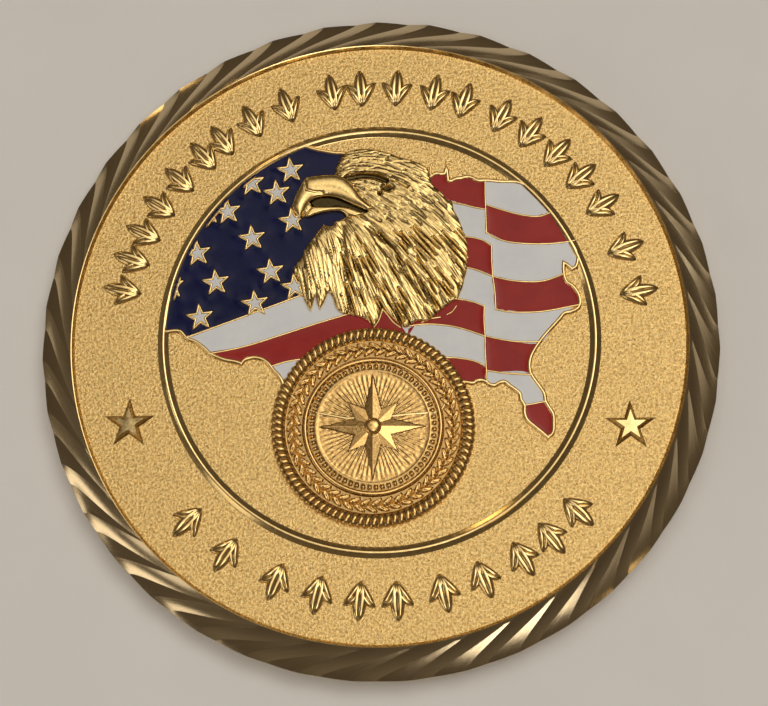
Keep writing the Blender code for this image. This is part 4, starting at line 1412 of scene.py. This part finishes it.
        def height(x: Array, y: Array) -> Array:
            """Give the level of the head."""
            depth = np.maximum(loop_depth(x, y, loop), 0)
            body = self.rim - 0.06 + self.swell * dome(depth / 2.0)
            smooth = np.clip(loop_depth(x, y, patch) / 0.2 + 0.5, 0, 1)
            locks_share = (1 - 0.8 * smooth) * (0.55 + 0.45 * ease(0, 0.4, depth))
            level = body + self.feathers(x, y, locks) * locks_share
            level -= self.partings(x, y)
            for path in folds:
                level -= self.fold_depth * trough(x, y, path, 0.3)
            far, share = path_distance(x, y, brow)
            ridge = np.exp(-((far / 0.24) ** 2)) * np.sin(math.pi * np.clip(share, 0.05, 0.95)) ** 0.5
            level = level * (1 - 0.8 * ridge) + (body + self.brow_rise) * 0.8 * ridge
            level -= self.brow_cut_depth * trough(x, y, brow_cut, 0.17)
            level -= self.under_brow_depth * trough(x, y, under_brow, 0.12)
            level -= self.eye_depth * np.exp(-oval(x, y, EYE, (0.32, 0.21)))
            level -= self.lore_depth * np.exp(-oval(x, y, LORE, (0.13, 0.12)))
            level += self.eyeball_rise * np.exp(-oval(x, y, EYEBALL, (0.12, 0.12)))
            in_mouth = loop_depth(x, y, mouth)
            pit = body - self.mouth_depth * np.clip(in_mouth / 0.12, 0, 1)
            level = np.where(in_mouth > 0, np.maximum(pit, self.pit_floor), level)
            in_jaw = loop_depth(x, y, jaw)
            level = np.where(in_jaw > 0, self.jaw_edge + self.jaw_rise * dome(in_jaw / 0.2), level)
            in_beak = loop_depth(x, y, beak)
            shell = self.beak_edge + self.beak_rise * dome(in_beak / 0.8)
            shell -= self.nostril_depth * trough(x, y, nostril, 0.08)
            return np.maximum(np.where(in_beak > 0, shell, level), self.pit_floor)

        return height

    def build(self) -> bpy.types.Object:
        """Build and dress the head."""
        loop = smooth_path(HEAD_LOOP, True, corner_deg=60.0, steps=3)
        piece = plate("eagle_head", loop, self.spacing, self.surface(loop), LEVEL.root)
        paint_shade(piece, self.painted_shade_map(loop))
        return settle(piece, "plated_brass", Metal.RELIEF)


# ---------------------------------------------------------------- medallion, band and reverse


def pointed(x: Array, y: Array, points: int, reach: float, inner: float, turn_deg: float) -> Array:
    """Return the faceted height, 1 at the middle and 0 at the outline, of a star with the given points.

    Angles are folded into half a point; the height falls evenly to the line from the tip to the inner
    corner, so each point has a ridge along it and a valley on each side.
    """
    step = 2 * math.pi / points
    turn = np.arctan2(y, x) - math.radians(turn_deg)
    folded = np.abs((turn + step / 2) % step - step / 2)
    radius = np.hypot(x, y)
    along, across = radius * np.cos(folded), radius * np.sin(folded)
    slope = (1 - inner * math.cos(step / 2) / reach) / (inner * math.sin(step / 2))
    return 1 - along / reach - across * slope


@dataclass
class Medallion:
    """The round medallion: a rope border, a wreath, a ring, a bead circle and a compass rose."""

    strands: int = 88
    columns_each: int = 8
    base: float = 2.86
    rope: Point = (5.72, 6.62)
    rope_rise: float = 0.3
    scallop: float = 0.14
    leaves: int = 44
    stem: float = 5.15
    stem_rise: float = 0.09
    leaf_reach: float = 0.46
    leaf_rise: float = 0.17
    ring: Point = (4.2, 4.57)
    ring_rise: float = 0.24
    beads: int = 60
    bead_circle: float = 3.97
    bead_half: float = 0.14
    bead_rise: float = 0.13
    line_circle: float = 3.7
    line_rise: float = 0.08
    ground: float = 3.6
    boss: float = 0.55
    boss_step: float = 0.3
    boss_rise: float = 0.24
    rose_long: tuple[float, float, float, float] = (0.27, 3.4, 0.95, 90.0)
    rose_short: tuple[float, float, float, float] = (0.22, 2.3, 1.0, 45.0)
    ray_rise: float = 0.012

    def rope_share(self, radius: Array) -> Array:
        """Return the share of the way across the rope, from its inner edge to its outer one."""
        return (radius - self.rope[0]) / (self.rope[1] - self.rope[0])

    def strand(self, turn: Array, share: Array) -> Array:
        """Return how high a strand of the rope stands, 0 in the gaps and 1 on the strand."""
        phase = turn * self.strands / (2 * math.pi) + 0.5 * share
        return np.abs(np.sin(math.pi * phase)) ** 0.6

    def wreath(self, radius: Array, turn: Array) -> Array:
        """Return the height of slanting leaf pairs either side of a thin stem."""
        side = (radius - self.stem) / self.leaf_reach
        along = np.abs(side)
        phase = turn * self.leaves / (2 * math.pi) + np.where(side > 0, 0.0, 0.5)
        across = (phase - 0.75 * along) % 1 - 0.5
        half = 0.42 * np.sin(math.pi * np.clip(0.12 + 0.88 * along, 0, 1)) ** 0.8
        rib = 1 - 0.35 * np.exp(-((across / 0.07) ** 2))
        leaf = np.where(along < 1, self.leaf_rise * half_round(across / np.maximum(half, 0.01)) * rib, 0)
        return np.maximum(leaf, self.stem_rise * np.exp(-(((radius - self.stem) / 0.06) ** 2)))

    def compass(self, x: Array, y: Array) -> Array:
        """Return the compass rose's height, below 0 outside it: four long points over four short ones."""
        parts = []
        for rise, reach, inner, turn_deg in (self.rose_long, self.rose_short):
            parts.append(rise * pointed(x, y, 4, reach, inner, turn_deg))
        return np.maximum(*parts)

    def level(self, radius: Array, turn: Array) -> Array:
        """Return the medallion's height."""
        x, y = radius * np.cos(turn), radius * np.sin(turn)
        z = np.full(np.broadcast(radius, turn).shape, self.base)
        z += np.where((radius > self.ring[1]) & (radius < self.rope[0]), self.wreath(radius, turn), 0)
        middle, half = sum(self.ring) / 2, (self.ring[1] - self.ring[0]) / 2
        z += self.ring_rise * half_round((radius - middle) / half)
        share = self.rope_share(radius)
        z += half_round(2 * share - 1) * self.rope_rise * (0.45 + 0.55 * self.strand(turn, share))
        phase = (turn * self.beads / (2 * math.pi)) % 1 - 0.5
        gap = np.hypot(radius - self.bead_circle, phase * 2 * math.pi * self.bead_circle / self.beads)
        z += self.bead_rise * half_round(gap / self.bead_half)
        z += self.line_rise * np.exp(-(((radius - self.line_circle) / 0.05) ** 2))
        rose = self.compass(x, y)
        rays = self.ray_rise * np.cos(64 * turn) * ease(0.6, 1.6, radius) * (1 - ease(3.3, 3.5, radius))
        rays = rays + 0.03 * (noise(x / 0.16, y / 0.16, 5) - 0.5) * (radius < self.ground)
        z += np.where(rose > 0, 0.05 + rose, rays)
        top = self.base + self.boss_step + self.boss_rise * half_round(radius / self.boss)
        return np.where(radius < self.boss, top, z)

    def painted_shade_map(self, x: Array, y: Array, _: Array) -> Array:
        """Return the painted shade at each place: on the low ground everywhere, and in the gaps of the rope.
        """
        radius = np.hypot(x - RING.medal_x, y - RING.medal_y)
        turn = np.arctan2(y - RING.medal_y, x - RING.medal_x)
        share = self.rope_share(radius)
        low = 0.42 * (1 - ease(0.02, 0.1, self.level(radius, turn) - self.base))
        rope = 0.7 * (1 - ease(0.3, 0.75, self.strand(turn, share)))
        return np.where(share > 0, rope, np.where(radius < self.ground, 0.5 * low, low))

    def build(self) -> bpy.types.Object:
        """Build and dress the medallion: rings from its middle out, then down to the foot."""
        columns = self.strands * self.columns_each
        turn = np.arange(columns)[None] * 2 * math.pi / columns
        radius = np.concatenate([
            np.linspace(0.04, 0.52, 7), np.linspace(0.56, 4.15, 44), np.linspace(4.2, 4.6, 12),
            np.linspace(4.65, 5.68, 24), np.linspace(5.73, 6.61, 18),
        ])[:, None]
        z = self.level(radius, turn)
        share = self.rope_share(radius)
        shown = radius - self.scallop * (1 - self.strand(turn, share)) * ease(0.75, 1.0, share)
        x, y = RING.medal_x + shown * np.cos(turn), RING.medal_y + shown * np.sin(turn)
        rings = np.stack([x, y, z], axis=-1)
        foot = rings[-1:].copy()
        foot[..., 2] = LEVEL.root
        solids = Solids()
        solids.sheet(np.concatenate([rings, foot]), wrap_rows=False)
        piece = solids.write("medallion", 50.0)
        paint_shade(piece, self.painted_shade_map)
        return settle(piece, "plated_brass", Metal.MEDAL)


MARK_ANGLES = (
    168.7, 161.5, 155.0, 148.0, 140.5, 133.0, 127.5, 119.5, 111.0, 100.5, 94.0, 86.0, 77.5, 70.5,
    61.5, 54.0, 46.5, 39.0, 31.0, 20.0, 9.8, 224.5, 235.4, 247.6, 257.0, 266.0, 274.0, 284.0, 293.0,
    302.3, 309.8, 317.8,
)
BAND_STARS: tuple[Point, ...] = ((-16.2, -5.6), (16.2, -6.0))


@dataclass
class Band:
    """The outer band's ornament: sprigs of three ribbed leaves, and two flat stars with bevelled edges."""

    inner: float = 15.95
    outer: float = 18.5
    leaf_width: float = 0.98
    side_reach: Point = (1.6, 1.02)
    rise: float = 0.36
    # Greatest painted shade at the foot of the sprigs and stars.
    shading: float = 0.85
    star_tip: float = 1.72
    star_rise: float = 0.32

    def painted_shade_map(self, x: Array, y: Array, z: Array) -> Array:
        """Return the painted shade at each place: most at the foot of a leaf or a star."""
        return self.shading * (1 - ease(0.0, 0.16, z - LEVEL.field))

    def sprig(self, solids: Solids, angle_deg: float) -> None:
        """Add one sprig, its stem towards the coin's middle."""
        angle = math.radians(angle_deg)
        out = np.array([math.cos(angle), math.sin(angle)])
        left = np.array([-out[1], out[0]])
        root, tip = out * self.inner, out * self.outer
        base, foot = LEVEL.field - 0.02, LEVEL.root
        solids.sheet(leaf_rings(root, tip, 0.0, self.leaf_width, self.rise, base, foot), False)
        width, rise = self.leaf_width * 0.75, self.rise * 0.92
        for side in (-1, 1):
            start = root + out * 0.05
            end = root + out * self.side_reach[0] + left * side * self.side_reach[1]
            solids.sheet(leaf_rings(start, end, -0.1 * side, width, rise, base, foot), False)

    def build(self) -> list[bpy.types.Object]:
        """Build and dress the sprigs and the stars."""
        sprigs = Solids()
        for angle in MARK_ANGLES:
            self.sprig(sprigs, angle)
        stars = Solids()
        foot = LEVEL.root
        top = LEVEL.field + self.star_rise
        steps = ((0.02, top + 0.01), (0.60, top), (0.68, top - 0.03), (1.0, LEVEL.field + 0.02), (1.0, foot))
        for centre in BAND_STARS:
            stars.sheet(star_rings(centre, self.star_tip, 90.0, steps), False)
        pieces = [sprigs.write("band_sprigs", 60.0), stars.write("band_stars", 5.0)]
        for piece in pieces:
            paint_shade(piece, self.painted_shade_map)
            settle(piece, "plated_brass", Metal.POLISHED)
        return pieces


@dataclass
class Reverse:
    """The reverse's ornament: a wreath of two branches round a faceted star."""

    wreath: float = 10.6
    stem_width: float = 0.28
    stem_rise: float = 0.16
    leaves: int = 20
    leaf_lean: float = 13.0
    leaf_reach: float = 1.7
    leaf_width: float = 0.95
    leaf_rise: float = 0.24
    star_tip: float = 5.4

    def build(self) -> list[bpy.types.Object]:
        """Build and dress the wreath and the star."""
        level = LEVEL.crest - LEVEL.back_field
        base, foot = level - 0.02, level - 0.3
        leaves = Solids()
        for side in (-1, 1):
            turn = np.radians(90 - side * np.linspace(172, 18, 40))
            stem = self.wreath * np.stack([np.cos(turn), np.sin(turn)], axis=1)
            rings = sweep(stem, False, self.stem_width, self.stem_rise, base, foot, Section.rounded(7))
            leaves.sheet(turned_over(rings), False)
            for number in range(self.leaves):
                place = 170 - 8 * number
                here = math.radians(90 - side * place)
                there = math.radians(90 - side * (place - self.leaf_lean))
                reach = self.wreath + (self.leaf_reach if number % 2 else -self.leaf_reach)
                start = self.wreath * np.array([math.cos(here), math.sin(here)])
                end = reach * np.array([math.cos(there), math.sin(there)])
                rings = leaf_rings(start, end, 0.08, self.leaf_width, self.leaf_rise, base, foot)
                leaves.sheet(turned_over(rings), False)
        star = Solids()
        steps = ((0.01, level + 0.22), (1.0, level + 0.05), (1.0, foot))
        star.sheet(turned_over(star_rings((0, 0), self.star_tip, 90.0, steps)), False)
        return [
            settle(leaves.write("reverse_wreath", 60.0), "plated_brass", Metal.POLISHED),
            settle(star.write("reverse_star", 5.0), "plated_brass", Metal.POLISHED),
        ]


# ---------------------------------------------------------------- studio


@dataclass(frozen=True)
class Softbox:
    """A soft rectangular light: its direction from the coin, its size in metres, its watts and its tone."""

    name: str
    toward: tuple[float, float, float]
    size: Point
    power: float
    tone: tuple[float, float, float]


SOFTBOXES = (
    Softbox("key", (0.36, 0.26, 0.90), (0.30, 0.30), 0.45, (1.0, 0.98, 0.94)),
    Softbox("window", (-0.70, -0.50, 0.50), (0.20, 0.14), 0.10, (1.0, 0.94, 0.84)),
    Softbox("sill", (-0.80, -0.55, 0.14), (0.50, 0.13), 0.32, (1.0, 0.94, 0.84)),
    Softbox("door", (-0.845, -0.06, 0.53), (0.09, 0.09), 0.04, (1.0, 0.94, 0.82)),
    Softbox("front", (0.08, -0.42, 0.90), (0.20, 0.16), 0.34, (1.0, 0.96, 0.90)),
    Softbox("ember", (-0.407, 0.86, 0.31), (0.08, 0.08), 0.07, (1.0, 0.72, 0.36)),
    Softbox("glow", (0.483, -0.552, 0.684), (0.08, 0.08), 0.026, (1.0, 0.74, 0.38)),
)
SKY_STOPS = (
    (0.0, (0.11, 0.093, 0.072)),
    (0.45, (0.053, 0.043, 0.031)),
    (0.76, (0.07, 0.056, 0.041)),
    (0.85, (0.32, 0.29, 0.25)),
    (0.93, (0.80, 0.75, 0.68)),
    (1.0, (0.92, 0.87, 0.79)),
)


@dataclass
class Studio:
    """The pale table, the soft light over it and the camera.

    Lengths are in metres. The surroundings are bright overhead and dark brown near the horizon, with one
    dim round patch whose edge fades over shade_span, in degrees.
    """

    target: tuple[float, float, float] = (0.000353, -0.001033, 0.0027)
    toward: tuple[float, float, float] = (0.0425, -0.2291, 0.9725)
    distance: float = 0.14
    lens: float = 100.85
    shade_toward: tuple[float, float, float] = (-0.21, 0.2, 0.957)
    shade_span: Point = (3.5, 9.5)
    shade_share: float = 0.05
    sky_up: tuple[float, float, float] = (0.06, 0.19, 0.975)
    sky_strength: float = 1.53
    light_distance: float = 0.7
    floor_half: float = 0.6
    floor_tone: tuple[float, float, float] = (0.95, 0.93, 0.90)

    def floor(self) -> bpy.types.Object:
        """Lay the table: a plain sheet with a faint mottle."""
        half = self.floor_half / MM
        corners = half * np.array([(-1, -1, 0), (1, -1, 0), (1, 1, 0), (-1, 1, 0)]) - np.array([0, 0, 0.02])
        sheet = write_mesh("table", corners, [np.array([[0, 1, 2, 3]])], 30.0)
        nodes = Nodes("pale_table")
        nodes.shader.inputs["Roughness"].default_value = 0.6
        mottle = nodes.grain("Object", 0.012, 3.0)
        low = tuple(0.97 * part for part in self.floor_tone)
        nodes.blend(mottle, low, self.floor_tone)
        nodes.bump(nodes.grain("Object", 0.0006, 2.0), 0.00001)
        sheet.data.materials.append(nodes.material)
        return sheet

    def world(self) -> None:
        """Make the surroundings: tones by height, brighter a little towards +Y, with one dim patch."""
        world = bpy.data.worlds.new("soft_room")
        bpy.context.scene.world = world
        world.use_nodes = True
        tree = world.node_tree
        place = tree.nodes.new("ShaderNodeTexCoord")
        lean = tree.nodes.new("ShaderNodeVectorMath")
        lean.operation = "DOT_PRODUCT"
        lean.inputs[1].default_value = self.sky_up
        ramp = tree.nodes.new("ShaderNodeValToRGB")
        ramp.color_ramp.elements[0].position = SKY_STOPS[0][0]
        ramp.color_ramp.elements[1].position = SKY_STOPS[-1][0]
        for position, _ in SKY_STOPS[1:-1]:
            ramp.color_ramp.elements.new(position)
        for element, (_, tone) in zip(ramp.color_ramp.elements, SKY_STOPS):
            element.color = (*tone, 1.0)
        tree.links.new(place.outputs["Generated"], lean.inputs[0])
        tree.links.new(lean.outputs["Value"], ramp.inputs["Fac"])
        shade = tree.nodes.new("ShaderNodeVectorMath")
        shade.operation = "DOT_PRODUCT"
        shade.inputs[1].default_value = Vector(self.shade_toward).normalized()
        soft = tree.nodes.new("ShaderNodeMapRange")
        soft.interpolation_type = "SMOOTHSTEP"
        soft.inputs["From Min"].default_value = math.cos(math.radians(self.shade_span[1]))
        soft.inputs["From Max"].default_value = math.cos(math.radians(self.shade_span[0]))
        soft.inputs["To Min"].default_value = 1.0
        soft.inputs["To Max"].default_value = self.shade_share
        dim = tree.nodes.new("ShaderNodeVectorMath")
        dim.operation = "SCALE"
        tree.links.new(place.outputs["Generated"], shade.inputs[0])
        tree.links.new(shade.outputs["Value"], soft.inputs["Value"])
        tree.links.new(ramp.outputs["Color"], dim.inputs[0])
        tree.links.new(soft.outputs["Result"], dim.inputs["Scale"])
        tree.links.new(dim.outputs["Vector"], tree.nodes["Background"].inputs["Color"])
        tree.nodes["Background"].inputs["Strength"].default_value = self.sky_strength

    def hang(self, box: Softbox) -> None:
        """Hang one soft light, facing the coin."""
        light = bpy.data.lights.new(box.name, "AREA")
        light.shape = "RECTANGLE"
        light.size, light.size_y = box.size
        light.energy = box.power
        light.color = box.tone
        lamp = bpy.data.objects.new(box.name, light)
        direction = Vector(box.toward).normalized()
        lamp.location = direction * self.light_distance
        lamp.rotation_mode = "QUATERNION"
        lamp.rotation_quaternion = (-direction).to_track_quat("-Z", "Y")
        bpy.context.scene.collection.objects.link(lamp)

    def camera(self) -> None:
        """Set the camera, looking at the target with +Y up."""
        lens = bpy.data.cameras.new("camera")
        lens.lens = self.lens
        lens.sensor_width = 36.0
        lens.clip_start = 0.005
        lens.clip_end = 10.0
        lens.dof.use_dof = False
        camera = bpy.data.objects.new("camera", lens)
        toward = Vector(self.toward).normalized()
        right = Vector((0, 1, 0)).cross(toward).normalized()
        up = toward.cross(right)
        turn = Matrix((right, up, toward)).transposed().to_4x4()
        camera.matrix_world = Matrix.Translation(Vector(self.target) + toward * self.distance) @ turn
        bpy.context.scene.collection.objects.link(camera)
        bpy.context.scene.camera = camera

    def build(self) -> None:
        """Set everything up."""
        self.floor()
        self.world()
        for box in SOFTBOXES:
            self.hang(box)
        self.camera()
        view = bpy.context.scene.view_settings
        view.view_transform = "Standard"
        view.look = "None"
        view.exposure = 0.0
        view.gamma = 1.0


def main() -> None:
    """Build the coin and its surroundings, piece by piece."""
    logging.basicConfig(level=logging.INFO, format="%(name)s: %(message)s")
    StruckBlank().build()
    MapWalls().build()
    EnamelPools().build()
    CantonStars().build()
    EagleHead().build()
    Medallion().build()
    Band().build()
    Reverse().build()
    Studio().build()


if __name__ == "__main__":
    main()
